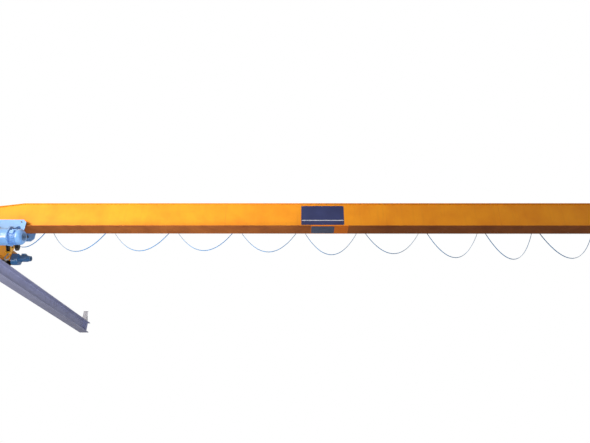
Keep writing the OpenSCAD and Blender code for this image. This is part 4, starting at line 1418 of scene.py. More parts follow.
    def make_feed(self) -> None:
        """The feed box with its lid, screws and glands."""
        refined("feed_box", Body.BRIDGE, POWDER_GREY, 2.0)
        refined("festoon_track", Body.BRIDGE, ZINC, 0.6)
        refined("festoon_arms", Body.BRIDGE, GIRDER, 1.0)
        low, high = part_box("feed_box")
        x0, x1, edge = self.feed_x + self.lid_x, high[0], self.lid_in
        face = L.festoon_y - self.lid_y
        Shape().block((x0 + edge, face - self.lid_thick, low[2] + edge),
                      (x1 - edge, face, high[2] - edge)).done(
            "feed_box_lid", Body.BRIDGE, POWDER_GREY, 2.0)
        spots = grid((x0 + self.screw_in, x1 - self.screw_in), (face - self.lid_thick,),
                     (low[2] + self.screw_in, high[2] - self.screw_in), FRONT)
        bolts("feed_box_screws", Body.BRIDGE, Thread.M6, spots)
        glands = grid([x0 + x for x in self.glands_x], (L.festoon_y,), (low[2],), DOWN)
        REPEAT.place("feed_box_glands", Body.BRIDGE, blank_gland(), DARK_PLASTIC, glands)

    def make_arm_bolts(self) -> None:
        """Bolts on the foot of each track arm."""
        low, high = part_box("festoon_arms")
        pitch = (high[0] - low[0] - 2 * self.arm_end) / (self.arms - 1)
        along, inset = self.arm_bolts
        xs = [low[0] + self.arm_end + i * pitch + side * along
              for i in range(self.arms) for side in SIDES]
        spots = grid(xs, (L.bridge_y + L.web_half + self.foot_thick,),
                     (high[2] - inset, low[2] + inset), REAR)
        bolts("festoon_arm_bolts", Body.BRIDGE, Thread.M12, spots)

    def build(self) -> None:
        """Makes the festoon."""
        self.make_cable()
        self.make_carriers()
        self.make_feed()
        self.make_arm_bolts()


@dataclass
class Girder:
    """The box girder's paint, welds, sign and plate.

    Attributes:
        bead: leg of the welds between web and flange.
        hollow: height of the bead's middle as a share of its leg.
        flange: thickness of the top flange.
        joints_x: places of the butt welds across the girder.
        butt: half the width of a butt weld on the web and under the flange.
        butt_rise: how far butt welds stand out.
        sign_corner: radius of the sign's corners.
        line_at: height of the sign's line as a share of the sign's.
        line_in: line's ends from the sign's sides.
        line_half: half the line's width.
        line_rise: thickness of the line.
        screw_in: sign's screws from its sides, and from its top and bottom.
        screw_r: radius of the screws' heads.
        rivet_in: plate's rivets from its sides.
        rivet_r: radius of the rivets' heads.
        painted: the plates in the girder's own paint.
    """

    bead: float = 0.008
    hollow: float = 0.45
    flange: float = 0.012
    joints_x: tuple[float, ...] = (-3.18, 3.24)
    butt: Flat = (0.005, 0.006)
    butt_rise: float = 0.0015
    sign_corner: float = 0.018
    line_at: float = 0.235
    line_in: float = 0.012
    line_half: float = 0.009
    line_rise: float = 0.0006
    screw_in: Flat = (0.025, 0.022)
    screw_r: float = 0.007
    rivet_in: float = 0.03
    rivet_r: float = 0.008
    painted: tuple[str, ...] = ("girder_top_flange", "girder_front_web", "girder_rear_web",
                                "girder_diaphragms")

    def make_paint(self) -> None:
        """Paints the girder's plates."""
        for node in self.painted:
            dress(node, GIRDER)
        # The bottom flange takes the darker brown enamel, whose colour is painted shade.
        dress("girder_bottom_flange", SHADED_UNDERSIDE)
        for node in ("saddle_plates", "trolley_stops"):
            refined(node, Body.BRIDGE, GIRDER, 1.5)

    def make_welds(self) -> None:
        """Fillet welds along the web, and butt welds across web and flange."""
        b, mid, half = self.bead, self.bead * self.hollow, L.girder_half
        shape, under = Shape(), Shape()
        for side in SIDES:
            y = L.bridge_y + side * L.web_half
            section = [(0.0, 0.0), (side * b, 0.0), (side * mid, mid), (0.0, b)]
            low = [Vector((x, y, L.ledge_z)) for x in (-half, half)]
            shape.sweep(low, section, Vector(REAR))
            high = [Vector((x, y, L.top_z(x) - self.flange))
                    for x in (-half, -L.shoulder_x, L.shoulder_x, half)]
            shape.sweep(high, [(a, -c) for a, c in section], Vector(REAR))
            face = y + side * self.butt_rise
            for x in self.joints_x:
                shape.block((x - self.butt[0], min(y, face), L.ledge_z),
                            (x + self.butt[0], max(y, face), L.girder_z1 - self.flange))
        shape.done("girder_welds", Body.BRIDGE, WELD, 0.6)
        # The butt welds under the flange take the same brown of painted shade.
        for x in self.joints_x:
            under.block(
                (x - self.butt[1], L.bridge_y - L.ledge_half, L.girder_z0 - self.butt_rise),
                (x + self.butt[1], L.bridge_y + L.ledge_half, L.girder_z0))
        under.done("flange_welds", Body.BRIDGE, SHADED_UNDERSIDE, 0.6)

    def make_sign(self) -> None:
        """The sign: a sheet with rounded corners, a plain line and screws."""
        low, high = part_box("sign_plate")
        r, steps = self.sign_corner, 5
        outline = [
            (cx + r * math.cos(math.radians(a0 + 90 * k / steps)),
             cz + r * math.sin(math.radians(a0 + 90 * k / steps)))
            for cx, cz, a0 in ((high[0] - r, high[2] - r, 0), (low[0] + r, high[2] - r, 90),
                               (low[0] + r, low[2] + r, 180), (high[0] - r, low[2] + r, 270))
            for k in range(steps + 1)
        ]
        piece = Shape().slab(outline, Axis.Y, low[1], high[1]).done(
            "sign_sheet", Body.BRIDGE, SIGN_NAVY, 1.0)
        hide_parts("sign_plate")
        z = low[2] + self.line_at * (high[2] - low[2])
        Shape().block((low[0] + self.line_in, low[1] - self.line_rise, z - self.line_half),
                      (high[0] - self.line_in, low[1], z + self.line_half)).done(
            "sign_line", Body.BRIDGE, SIGN_WHITE, 0.2)
        dx, dz = self.screw_in
        spots = grid((low[0] + dx, (low[0] + high[0]) / 2, high[0] - dx), (low[1],),
                     (low[2] + dz, high[2] - dz), FRONT)
        REPEAT.place("sign_screws", Body.BRIDGE, round_screw(self.screw_r), BOLT, spots, TAU, 0.2)

    def make_plate(self) -> None:
        """The bare plate under the girder, with its rivets."""
        refined("load_plate", Body.BRIDGE, PLATE_SLATE, 0.8)
        low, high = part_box("load_plate")
        spots = grid((low[0] + self.rivet_in, high[0] - self.rivet_in),
                     (low[1] + self.rivet_in, high[1] - self.rivet_in), (low[2],), DOWN)
        REPEAT.place("load_plate_rivets", Body.BRIDGE, round_screw(self.rivet_r), BOLT, spots,
                     TAU, 0.2)

    def build(self) -> None:
        """Makes the girder's looks."""
        self.make_paint()
        self.make_welds()
        self.make_sign()
        self.make_plate()


@dataclass
class Runway:
    """Runway beams, rails, rail clips and end stops.

    Attributes:
        clip_pitch: distance between the rail clips.
        clip_reach: place of the first and last clips.
        clip_half: half the length of a clip.
        clip_bolt: a clip's bolt from the rail's middle, and its height.
        clip_lean: how far that bolt leans out.
        stop_bolt: end stops' bolts from the rail's middle, and their height.
        stop_rows: those bolts' places along the runway.
    """

    clip_pitch: float = 0.6
    clip_reach: float = 3.9
    clip_half: float = 0.03
    clip_bolt: Flat = (0.093, 0.0135)
    clip_lean: float = 0.14
    stop_bolt: Flat = (0.078, 0.016)
    stop_rows: Flat = (4.345, 4.44)

    def clip(self) -> Shape:
        """Two clip plates, one on each side of the rail, standing on the beam.

        Returns:
            The clips.
        """
        shape = Shape()
        for side in SIDES:
            outline = [(side * x, z) for x, z in (
                (0.054, 0.008), (0.066, 0.008), (0.066, 0.0), (0.118, 0.0), (0.118, 0.011),
                (0.070, 0.018), (0.054, 0.018))]
            shape.slab(outline, Axis.Y, -self.clip_half, self.clip_half)
        return shape

    def build(self) -> None:
        """Makes the runway's looks."""
        for side in ("left", "right"):
            refined("runway_beam_" + side, Body.RUNWAY, PRIMER, 1.5)
            refined("rail_" + side, Body.RUNWAY, RAIL, 1.5)
        refined("runway_end_stops", Body.RUNWAY, STOP_GREY, 2.0)
        count = int(2 * self.clip_reach / self.clip_pitch) + 1
        z = L.beam_depth
        places = grid([side * L.rail_x for side in SIDES],
                      [-self.clip_reach + i * self.clip_pitch for i in range(count)], (z,))
        REPEAT.place("rail_clips", Body.RUNWAY, self.clip(), DARK_ZINC, places, 0.0, 1.0)
        out, rise = self.clip_bolt
        spots = [Spot((spot.at[0] + side * out, spot.at[1], z + rise),
                      (side * self.clip_lean, 0, 1)) for spot in places for side in SIDES]
        bolts("rail_clip_bolts", Body.RUNWAY, Thread.M14, spots, ZINC)
        out, rise = self.stop_bolt
        spots = [Spot((side * L.rail_x + face * out, end * y, z + rise))
                 for side in SIDES for end in SIDES for face in SIDES for y in self.stop_rows]
        bolts("end_stop_bolts", Body.RUNWAY, Thread.M14, spots)


@dataclass
class EndCarriages:
    """End carriages with their wheels, drives, buffers and fastenings.

    Attributes:
        boss_face: bearing boss's face from the rail.
        cap_ring: radius of the ring of cap screws.
        cap_thick: thickness of the cap under them.
        saddle_bolt: saddle bolts along and across the girder.
        motor_rise: gearmotors' axis above the axles.
        box_x: terminal box's ends from the boss's face.
        box_half: half the box's width.
        box_z: box's underside and top above the motor's axis.
        guard_x: fan guard from the boss's face.
        guard_rings: radii of the guard's rings.
        wire_r: radius of the guard's wire.
        case_x: gear case's face from the boss's face.
        case_rise: gear case's middle above the axle.
        case_ring: radii of the ring of case bolts.
    """

    boss_face: float = 0.125
    cap_ring: float = 0.042
    cap_thick: float = 0.007
    saddle_bolt: Flat = (0.06, 0.232)
    motor_rise: float = 0.05
    box_x: Flat = (0.20, 0.31)
    box_half: float = 0.045
    box_z: Flat = (0.07, 0.125)
    guard_x: float = 0.452
    guard_rings: tuple[float, ...] = (0.012, 0.026, 0.040, 0.054)
    wire_r: float = 0.0018
    case_x: float = 0.17
    case_rise: float = 0.02
    case_ring: Flat = (0.1, 0.09)

    def axle_cap(self) -> Shape:
        """A round keeper cap over an axle's end, standing on its origin."""
        return Shape().turned([(0, 0), (0.05, 0), (0.05, self.cap_thick), (0.034, 0.010),
                               (0.03, 0.006), (0, 0.006)], steps=40)

    def build(self) -> None:
        """Makes the end carriages' looks."""
        for side in ("left", "right"):
            refined("end_carriage_" + side, Body.BRIDGE, GIRDER, 3.0)
        refined("bridge_wheels", Body.BRIDGE, CAST_IRON, 1.5)
        refined("travel_drives", Body.BRIDGE, MACHINE_BLUE, 2.0)
        refined("carriage_buffers", Body.BRIDGE, RUBBER, 4.0)
        self.make_caps()
        out, across = self.saddle_bolt
        spots = grid([side * L.rail_x + end * out for side in SIDES for end in SIDES],
                     [L.bridge_y + end * across for end in SIDES], (L.girder_z0,))
        bolts("saddle_bolts", Body.BRIDGE, Thread.M16, spots)
        self.make_drive_details()

    def make_caps(self) -> None:
        """Caps over the axles' ends, but for the two that a drive sits on."""
        caps, screws, ring = [], [], (self.cap_ring, self.cap_ring)
        for side in SIDES:
            for end in SIDES:
                for face in SIDES:
                    if end > 0 and face == -side:
                        continue
                    x = side * L.rail_x + face * self.boss_face
                    y = L.bridge_y + end * L.wheel_base / 2
                    caps.append(Spot((x, y, L.axle_z), (face, 0, 0)))
                    screws += ring_spots((x + face * self.cap_thick, y, L.axle_z), ring, 6, face)
        REPEAT.place("axle_caps", Body.BRIDGE, self.axle_cap(), GIRDER, caps, 0.0, 0.6)
        bolts("axle_cap_screws", Body.BRIDGE, Thread.M5, screws)

    def make_drive_details(self) -> None:
        """Terminal boxes, case bolts and fan guards on the travel gearmotors."""
        y, z = L.bridge_y + L.wheel_base / 2, L.axle_z + self.motor_rise
        boxes, guard, screws = Shape(), Shape(), []
        for side in SIDES:
            face = side * (L.rail_x - self.boss_face)
            x0, x1 = sorted(face - side * x for x in self.box_x)
            boxes.block((x0, y - self.box_half, z + self.box_z[0]),
                        (x1, y + self.box_half, z + self.box_z[1]))
            for r in self.guard_rings:
                guard.turned(circle(self.wire_r, 8, (r, 0.0)),
                             (face - side * self.guard_x, y, z), Axis.X, 40, True)
            case = (face - side * self.case_x, y, L.axle_z + self.case_rise)
            screws += ring_spots(case, self.case_ring, 8, -side)
        boxes.done("drive_terminal_boxes", Body.BRIDGE, MACHINE_BLUE, 3.0)
        guard.done("drive_fan_guards", Body.BRIDGE, DARK_PLASTIC, 0.0)
        bolts("drive_case_bolts", Body.BRIDGE, Thread.M8, screws)


@dataclass
class Hoist:
    """The hoist: trolley, drum, gearbox, motor and control box.

    Attributes:
        motor_r: radius of the hoist motor.
        motor_end: place of the motor's outer face.
        flange_r: radius of the motor's flange.
        flange_thick: thickness of that flange.
        flange_bolts: number of its bolts and radius of their ring.
        core_in: depth of the barrel's core below the fins.
        core_end: end of that core from the motor's face.
        skirt: length of the cowl.
        cap: length and radius of the cowl's rounding.
        fins: number of cooling fins.
        fins_x: fins' ends from the housing, and from the motor's face.
        fin_height: height of a fin.
        fin_half: half the thickness of a fin.
        guard_rings: radii of the fan guard's rings.
        guard_reach: half the length of a spoke.
        guard_r: radius of the rings' wire and of the spokes'.
        spokes: number of wires across the guard.
        box_half: half the length of the terminal box.
        box_y: how far the box stands out of the motor and reaches in.
        box_height: height of the box.
        tie_nut: tie bars' nuts: along, out of the plates, and up.
        axle_nut: wheel axles' nuts: along, out of the plates, and up.
        box_screw: control box's screws from its sides and top.
        housing_r: radius of the drum housing.
        highlight_span: angles where the painted highlight starts and ends, degrees.
        highlight_cowl: the highlight's ends on the cowl, from the motor's face.
        line_rise: depth where the highlight strip starts, and how far it stands out.
        gear_bolts: number of gearbox bolts, and radius of their ring.
        gear_face: gearbox's face from the housing.
    """

    motor_r: float = 0.18
    motor_end: float = -7.61
    flange_r: float = 0.212
    flange_thick: float = 0.016
    flange_bolts: tuple[int, float] = (12, 0.198)
    core_in: float = 0.016
    core_end: float = 0.105
    skirt: float = 0.118
    cap: float = 0.085
    fins: int = 40
    fins_x: Flat = (0.02, 0.125)
    fin_height: float = 0.020
    fin_half: float = 0.0025
    guard_rings: tuple[float, ...] = (0.018, 0.034, 0.050, 0.066, 0.082)
    guard_reach: float = 0.086
    guard_r: Flat = (0.0022, 0.0015)
    spokes: int = 4
    box_half: float = 0.045
    box_y: Flat = (0.018, 0.05)
    box_height: float = 0.085
    tie_nut: Place = (0.19, 0.018, 0.7003)
    axle_nut: Place = (0.26, 0.012, 0.8701)
    box_screw: Flat = (0.025, 0.026)
    housing_r: float = 0.2
    highlight_span: Flat = (196.0, 208.0)
    highlight_cowl: Flat = (0.108, 0.088)
    line_rise: Flat = (0.001, 0.0012)
    gear_bolts: tuple[int, float] = (14, 0.202)
    gear_face: float = 0.020

    def plate_nuts(self, place: Place) -> list[Spot]:
        """Four nuts on the outsides of the trolley's side plates.

        Args:
            place: distance from the hoist's middle, distance out of the plates, and height.

        Returns:
            The nuts' spots.
        """
        along, out, z = place
        return [Spot((L.park_x + end * along, L.bridge_y + side * (L.plate_outer + out), z),
                     (0, side, 0)) for end in SIDES for side in SIDES]

    def make_trolley(self) -> None:
        """Trolley plates, wheels, tie bars and their nuts."""
        for node, finish, soft in (
            ("trolley_side_plates", HOIST_BLUE, 1.5), ("trolley_wheels", CAST_IRON, 1.0),
            ("trolley_tie_bars", ZINC, 1.5), ("drum_brackets", HOIST_BLUE, 1.5),
            ("drum_housing", HOIST_BLUE, 1.5), ("hoist_gearbox", HOIST_BLUE, 6.0),
            ("return_sheave", CAST_IRON, 1.0), ("hoist_control_box", POWDER_GREY, 3.0),
            ("tow_arm", ZINC, 1.0), ("rope_drum", DARK_ZINC, 0.6),
        ):
            refined(node, Body.HOIST, finish, soft)
        bolts("tie_bar_nuts", Body.HOIST, Thread.M22, self.plate_nuts(self.tie_nut))
        bolts("wheel_axle_nuts", Body.HOIST, Thread.AXLE, self.plate_nuts(self.axle_nut))
        low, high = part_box("hoist_control_box")
        dx, dz = self.box_screw
        spots = grid((low[0] + dx, high[0] - dx), (high[1],), (low[2] + dz, high[2] - dz), REAR)
        bolts("control_box_screws", Body.HOIST, Thread.M6, spots)

    def make_barrel(self) -> None:
        """The motor's flange and barrel."""
        x0, x1, flange = L.housing_x1, self.motor_end - self.core_end, self.flange_r
        core, step = self.motor_r - self.core_in, 0.002
        piece = Shape().turned(
            [(0, x0), (flange, x0), (flange, x0 + self.flange_thick),
             (core, x0 + self.flange_thick + step), (core, x1), (0, x1)],
            (0, L.drum_y, L.drum_z), Axis.X, 72).done(
            "motor_barrel", Body.HOIST, HOIST_BLUE, 2.0)
        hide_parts("hoist_motor")

    def make_cowl(self) -> None:
        """The round fan cowl and the wire guard in its end."""
        y, z, r, x1 = L.drum_y, L.drum_z, self.motor_r, self.motor_end
        cap, lip, wire, steps = self.cap, 0.004, x1 - 0.002, 10
        rim = [(0, x1 - self.skirt), (r * 0.985, x1 - self.skirt), (r, x1 - self.skirt + 0.006),
               (r, x1 - cap)]
        rim += [(r - cap + cap * math.cos(a), x1 - cap + (cap - lip) * math.sin(a))
                for a in (math.pi / 2 * k / steps for k in range(1, steps + 1))]
        Shape().turned(rim + [(0, x1 - lip)], (0, y, z), Axis.X, 72).done(
            "motor_cowl", Body.HOIST, HOIST_BLUE, 1.0)
        guard = Shape()
        for ring in self.guard_rings:
            guard.turned(circle(self.guard_r[0], 8, (ring, wire)), (0, y, z), Axis.X, 56, True)
        for k in range(self.spokes):
            angle = math.pi * k / self.spokes
            way = Vector((0.0, math.cos(angle), math.sin(angle)))
            path = [Vector((wire, y, z)) + way * side * self.guard_reach for side in SIDES]
            guard.sweep(path, circle(self.guard_r[1], 6))
        guard.done("motor_fan_guard", Body.HOIST, DARK_PLASTIC, 0.0)

    def make_fittings(self) -> None:
        """The motor's fins, flange bolts and terminal box."""
        y, z, r = L.drum_y, L.drum_z, self.motor_r
        x0, x1, foot = L.housing_x1, self.motor_end, r - self.fin_height
        start, end = x0 + self.fins_x[0], x1 - self.fins_x[1]
        half, middle = (end - start) / 2, (start + end) / 2
        fin = Shape().block((-half, -self.fin_half, 0.0), (half, self.fin_half, self.fin_height))
        REPEAT.place("motor_fins", Body.HOIST, fin, HOIST_BLUE,
                     ring_spots((middle, y, z), (foot, foot), self.fins), 0.0, 1.0)
        Shape().block((middle - self.box_half, y - r - self.box_y[0], z),
                      (middle + self.box_half, y - r + self.box_y[1],
                       z + self.box_height)).done(
            "motor_terminal_box", Body.HOIST, HOIST_BLUE, 5.0)
        count, ring = self.flange_bolts
        spots = ring_spots((x0 + self.flange_thick, y, z), (ring, ring), count, 1)
        bolts("motor_flange_bolts", Body.HOIST, Thread.M8, spots)

    def make_highlight_strip(self) -> None:
        """A pale strip along the drum housing and the motor's cowl: a painted highlight."""
        shape, steps, inset = Shape(), 8, 0.012
        x1, (under, over), (first, last) = self.motor_end, self.line_rise, self.highlight_span
        angles = [math.radians(first + (last - first) * k / steps) for k in range(steps + 1)]
        for r, start, end in ((self.housing_r, L.housing_x0 + inset, L.housing_x1 - inset),
                              (self.motor_r, x1 - self.highlight_cowl[0], x1 - self.highlight_cowl[1])):
            band = [(L.drum_y + q * math.cos(a), L.drum_z + q * math.sin(a))
                    for q, turn in ((r - under, angles), (r + over, angles[::-1]))
                    for a in turn]
            shape.slab(band, Axis.X, start, end)
        # This pale strip on the front, lower side of the housing and cowl is a painted highlight.
        shape.done("hoist_painted_line", Body.HOIST, PAINTED_HIGHLIGHT, 0.3)

    def make_gear_details(self) -> None:
        """Case bolts round the gearbox."""
        count, ring = self.gear_bolts
        face = (L.housing_x0 - self.gear_face, L.drum_y, L.drum_z)
        bolts("gearbox_bolts", Body.HOIST, Thread.M7, ring_spots(face, (ring, ring), count, -1))

    def build(self) -> None:
        """Makes the hoist's looks."""
        self.make_trolley()
        self.make_barrel()
        self.make_cowl()
        self.make_fittings()
        self.make_highlight_strip()
        self.make_gear_details()


@dataclass
class Reeving:
    """The wire rope: drum wraps, four falls, wraps round the sheaves and the anchor.

    Attributes:
        rope_r: radius of the rope.
        strands: number of strands.
        strand_depth: valleys between strands, as a share of the radius.
        lay: length in which a strand goes round once.
        step: length of one step of a fall.
        drum_r: radius of the rope's middle on the drum.
        sheave_r: radius of the rope's middle on a sheave.
        sheave_x: block's sheaves from its middle.
        groove_x: first groove, about the hoist's middle.
        groove_pitch: distance between grooves.
        lead_groove: groove that the rope leaves from.
        back: return sheave's axle, as (y, z) about the girder's middle.
        anchor: rope's end in the anchor, likewise.
        socket: tapered socket, as (radius, height) from its top.
    """

    rope_r: float = 0.0045
    strands: int = 6
    strand_depth: float = 0.13
    lay: float = 0.058
    step: float = 0.005
    drum_r: float = 0.140
    sheave_r: float = 0.0948
    sheave_x: float = 0.024
    groove_x: float = -0.240
    groove_pitch: float = 0.014
    lead_groove: int = 15
    back: Flat = (0.264, 0.4753)
    anchor: Flat = (-0.220, 0.6040)
    socket: Section = ((0, 0), (0.012, 0), (0.012, -0.014), (0.0095, -0.030), (0.0062, -0.050),
                       (0, -0.050))

    def strand_ring(self, run: float) -> list[Flat]:
        """The rope's section: a ring of strands that turns along the rope.

        Args:
            run: distance along the rope.

        Returns:
            The section's corners.
        """
        corners_each = 3
        sides = self.strands * corners_each
        ring = []
        for k in range(sides):
            angle = TAU * k / sides + TAU * run / self.lay
            r = self.rope_r * (1 - self.strand_depth
                               + self.strand_depth * math.cos(TAU * k / corners_each))
            ring.append((r * math.cos(angle), r * math.sin(angle)))
        return ring

    def place(self, x: float, point: Flat) -> Vector:
        """A point given about the hoist's middle, in the crane's frame."""
        return Vector((L.park_x + x, L.bridge_y + point[0], point[1]))

    def fall(self, name: str, top: Vector, bottom: Vector) -> None:
        """One straight fall that stretches between the hoist and the hook block.

        Args:
            name: the piece's name.
            top: its upper end, on the hoist.
            bottom: its lower end, on the block.
        """
        count = max(8, int((top - bottom).length / self.step))
        path = [top.lerp(bottom, k / count) for k in range(count + 1)]
        piece = Shape().sweep(path, self.strand_ring).done(name, None, ROPE, 0.0, 80.0)
        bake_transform(piece)
        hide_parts("rope_falls")

    def wrap(
        self, name: str, body: Body, x: float, centre: Flat, before: Flat, start: Flat, end: Flat
    ) -> None:
        """The rope's wrap round one sheave.

        Args:
            name: the piece's name.
            body: the body that it rides on.
            x: the sheave's place about the hoist's middle.
            centre: the sheave's axle, as (y, z).
            before: a point of the rope ahead of the sheave.
            start: the point where the rope meets the sheave.
            end: the point where it leaves.
        """
        steps = 44
        points = [self.place(x, p) for p in round_path(centre, before, start, end, steps)]
        Shape().sweep(points, self.strand_ring).done(name, body, ROPE, 0.0, 80.0)

    def make_falls(self) -> None:
        """The four falls and the wraps that join them."""
        block, back, r = (0.0, L.hook_axle_z), self.back, self.sheave_r
        drum = (L.drum_y - L.bridge_y, L.drum_z)
        lead = crossing(drum, self.drum_r, block, r)
        up = crossing(back, r, block, r, -1)
        turn = math.atan2(block[1] - back[1], block[0] - back[0]) + math.pi / 2
        out = (r * math.cos(turn), r * math.sin(turn))
        down = ((back[0] + out[0], back[1] + out[1]), (block[0] + out[0], block[1] + out[1]))
        last = crossing(self.anchor, 0.0, block, r)
        lead_x = self.groove_x + self.lead_groove * self.groove_pitch
        xs = self.sheave_x
        self.fall("rope_fall_1", self.place(lead_x, lead[0]), self.place(-xs, lead[1]))
        self.fall("rope_fall_2", self.place(0.0, up[0]), self.place(-xs, up[1]))
        self.fall("rope_fall_3", self.place(0.0, down[0]), self.place(xs, down[1]))
        self.fall("rope_fall_4", self.place(xs, last[0]), self.place(xs, last[1]))
        self.wrap("rope_wrap_left", Body.HOOK, -xs, block, *lead, up[1])
        self.wrap("rope_wrap_return", Body.HOIST, 0.0, back, *up[::-1], down[0])
        self.wrap("rope_wrap_right", Body.HOOK, xs, block, *down, last[1])

    def make_drum_wraps(self) -> None:
        """The rope on the drum: one turn in each groove up to the one it leaves from."""
        shape = Shape()
        r = self.rope_r
        for i in range(self.lead_groove + 1):
            x = L.park_x + self.groove_x + i * self.groove_pitch
            shape.turned(circle(r, 8, (self.drum_r, x)), (0.0, L.drum_y, L.drum_z), Axis.X, 56,
                         True)
        shape.done("rope_on_drum", Body.HOIST, ROPE, 0.0, 80.0)

    def make_anchor(self) -> None:
        """The tapered socket that holds the rope's end, a little above that end."""
        top = self.place(self.sheave_x, (self.anchor[0], self.anchor[1] + 0.004))
        Shape().turned(self.socket, top, Axis.Z, 28).done(
            "rope_socket", Body.HOIST, CHROMATE, 0.8)

    def build(self) -> None:
        """Makes the rope."""
        self.make_falls()
        self.make_drum_wraps()
        self.make_anchor()


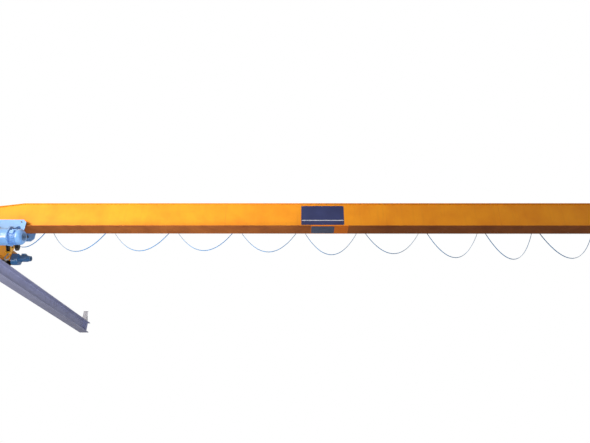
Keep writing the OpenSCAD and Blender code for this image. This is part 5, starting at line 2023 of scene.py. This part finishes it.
@dataclass
class HookBlock:
    """Hook block, forged hook and its spring latch.

    Attributes:
        bowl_z: height of the middle of the hook's bowl.
        top_z: height of the hook's shoulder.
        ring_r: radius of the bowl's centre line.
        ring_from: angle where the bowl starts.
        ring_to: angle where the bowl ends.
        flare: share of the bowl where it starts to open, and by how much.
        shank_r: radius of the shank.
        shank_share: share of the centre line that is shank.
        swell: how much thicker it is under the load, where, and how far.
        taper: how much it thins towards the tip, and from where.
        point: where the tip's rounding starts, and its bluntness.
        crosshead: height of the crosshead.
        nut: shank nut's radius and height, and the step of its rim.
        latch_half: half the width of the latch.
        latch_wall: thickness of the latch's sheet.
        pivot: latch's pivot, as (x, z).
        latch_tip: latch's free end, as (x, z).
        axle_face: block's faces from its middle.
        nut_out: axle nuts out of the faces.
        cheek_bolts: cheeks' bolts about the axle, as (y, z).
    """

    bowl_z: float = 0.080
    top_z: float = 0.184
    ring_r: float = 0.053
    ring_from: float = math.radians(125)
    ring_to: float = math.radians(395)
    flare: Flat = (0.75, 0.014)
    shank_r: float = 0.017
    shank_share: float = 0.3
    swell: Place = (0.25, 0.62, 0.16)
    taper: Flat = (0.62, 0.72)
    point: Flat = (0.955, 0.12)
    crosshead: float = 0.036
    nut: Place = (0.028, 0.014, 0.002)
    latch_half: float = 0.0212
    latch_wall: float = 0.002
    pivot: Flat = (0.006, 0.144)
    latch_tip: Flat = (0.049, 0.112)
    axle_face: float = 0.054
    nut_out: float = 0.012
    cheek_bolts: Section = ((-0.030, -0.115), (0.030, -0.115), (-0.048, -0.045),
                            (0.048, -0.045))

    def centre(self, t: float) -> Flat:
        """The hook's centre line in the XZ plane: a shank, then three quarters of a ring.

        Args:
            t: share of the centre line, from 0 at the shoulder to 1 at the tip.

        Returns:
            The point, about the hoist's middle.
        """
        if t < self.shank_share:
            u = t / self.shank_share
            ease = u * u * (3 - 2 * u)
            low = self.bowl_z + self.ring_r * math.sin(self.ring_from)
            return self.ring_r * math.cos(self.ring_from) * ease, self.top_z * (1 - u) + low * u
        u = (t - self.shank_share) / (1 - self.shank_share)
        a = self.ring_from + u * (self.ring_to - self.ring_from)
        start, grow = self.flare
        r = self.ring_r + grow * (max(0.0, u - start) / (1 - start)) ** 2
        return r * math.cos(a), self.bowl_z + r * math.sin(a)

    def half(self, t: float) -> float:
        """Half the hook's thickness, widest under the load and rounded off at the tip.

        Args:
            t: share of the centre line.

        Returns:
            The half thickness.
        """
        more, at, over = self.swell
        less, after = self.taper
        start, blunt = self.point
        tip = math.sqrt(max(0.0, 1 - max(0.0, (t - start) / (1 - start)) ** 2))
        return self.shank_r * (1 + more * math.exp(-((t - at) / over) ** 2)
                               - less * (max(0.0, t - after) / (1 - after)) ** 2
                               ) * max(blunt, tip)

    def make_hook(self) -> None:
        """The forged hook with its shank, neck and nut."""
        rows, rings, sides, near, flat = [], 110, 28, 0.01, 0.85
        for i in range(rings + 1):
            t = i / rings
            x, z = self.centre(t)
            a, b = self.centre(max(0.0, t - near)), self.centre(min(1.0, t + near))
            way = Vector((b[0] - a[0], 0.0, b[1] - a[1])).normalized()
            out, h = Vector((way.z, 0.0, -way.x)), self.half(t)
            rows.append([Vector((L.park_x + x, L.bridge_y, z)) + out * p + Vector((0, flat * q, 0))
                         for p, q in circle(h, sides)])
        z0, z1 = self.top_z - 0.006, self.top_z + self.crosshead
        at = (L.park_x, L.bridge_y, 0.0)
        r, top, rim = self.nut
        shape = Shape().loft(rows).turned(rod(self.shank_r, z0, z1), at, steps=40)
        shape.turned([(0, z1), (r, z1), (r, z1 + top - rim), (r - 0.003, z1 + top),
                      (0, z1 + top)], at, steps=6)
        piece = shape.done("hook_forging", Body.HOOK, FORGED, 0.0, 50.0)
        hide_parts("hook")

    def make_latch(self) -> None:
        """The spring latch that closes the hook's mouth, on a pin through the shank."""
        x, y, half, wall = L.park_x, L.bridge_y, self.latch_half, self.latch_wall
        pivot, tip = Vector(self.pivot), Vector(self.latch_tip)
        way = (tip - pivot).normalized()
        side = Vector((-way.y, way.x))
        shape = Shape()
        plate = [pivot + side * wall, tip + side * wall, tip + side * 2 * wall,
                 pivot + side * 2 * wall]
        shape.slab([(x + p.x, p.y) for p in plate], Axis.Y, y - half, y + half)
        for y0, y1 in ((-half, wall - half), (half - wall, half)):
            ear = [pivot - side * 0.012 - way * 0.008, pivot + way * 0.020 - side * 0.006,
                   pivot + way * 0.026 + side * 0.003, pivot - way * 0.008 + side * 0.003]
            shape.slab([(x + p.x, p.y) for p in ear], Axis.Y, y + y0, y + y1)
        shape.turned(rod(0.004, -0.024, 0.024), (x + pivot.x - 0.003, y, pivot.y - 0.004),
                     Axis.Y, 20)
        shape.done("hook_latch", Body.HOOK, CHROMATE, 0.4)

    def make_block_details(self) -> None:
        """Nuts on the block's axle, and bolts on its cheeks."""
        out = self.axle_face + self.nut_out
        spots = [Spot((L.park_x + side * out, L.bridge_y, L.hook_axle_z), (side, 0, 0))
                 for side in SIDES]
        bolts("block_axle_nuts", Body.HOOK, Thread.M16, spots, CHROMATE)
        spots = [Spot((L.park_x + side * self.axle_face, L.bridge_y + dy, L.hook_axle_z + dz),
                      (side, 0, 0)) for side in SIDES for dy, dz in self.cheek_bolts]
        bolts("block_cheek_bolts", Body.HOOK, Thread.M8, spots, CHROMATE)

    def build(self) -> None:
        """Makes the hook block's looks."""
        refined("hook_block", Body.HOOK, BLOCK_YELLOW, 2.0)
        refined("block_sheaves", Body.HOOK, CAST_IRON, 1.0)
        self.make_hook()
        self.make_latch()
        self.make_block_details()


def main() -> None:
    """Builds the studio and the crane's looks in order."""
    logging.basicConfig(level=logging.INFO, format="%(message)s")
    studio = Studio()
    studio.make_camera()
    for piece in (Festoon(), studio, Runway(), Girder(), ControlPanel(), EndCarriages(),
                  Hoist(), Reeving(), HookBlock()):
        piece.build()
        LOG.info("made %s", type(piece).__name__)


if __name__ == "__main__":
    main()
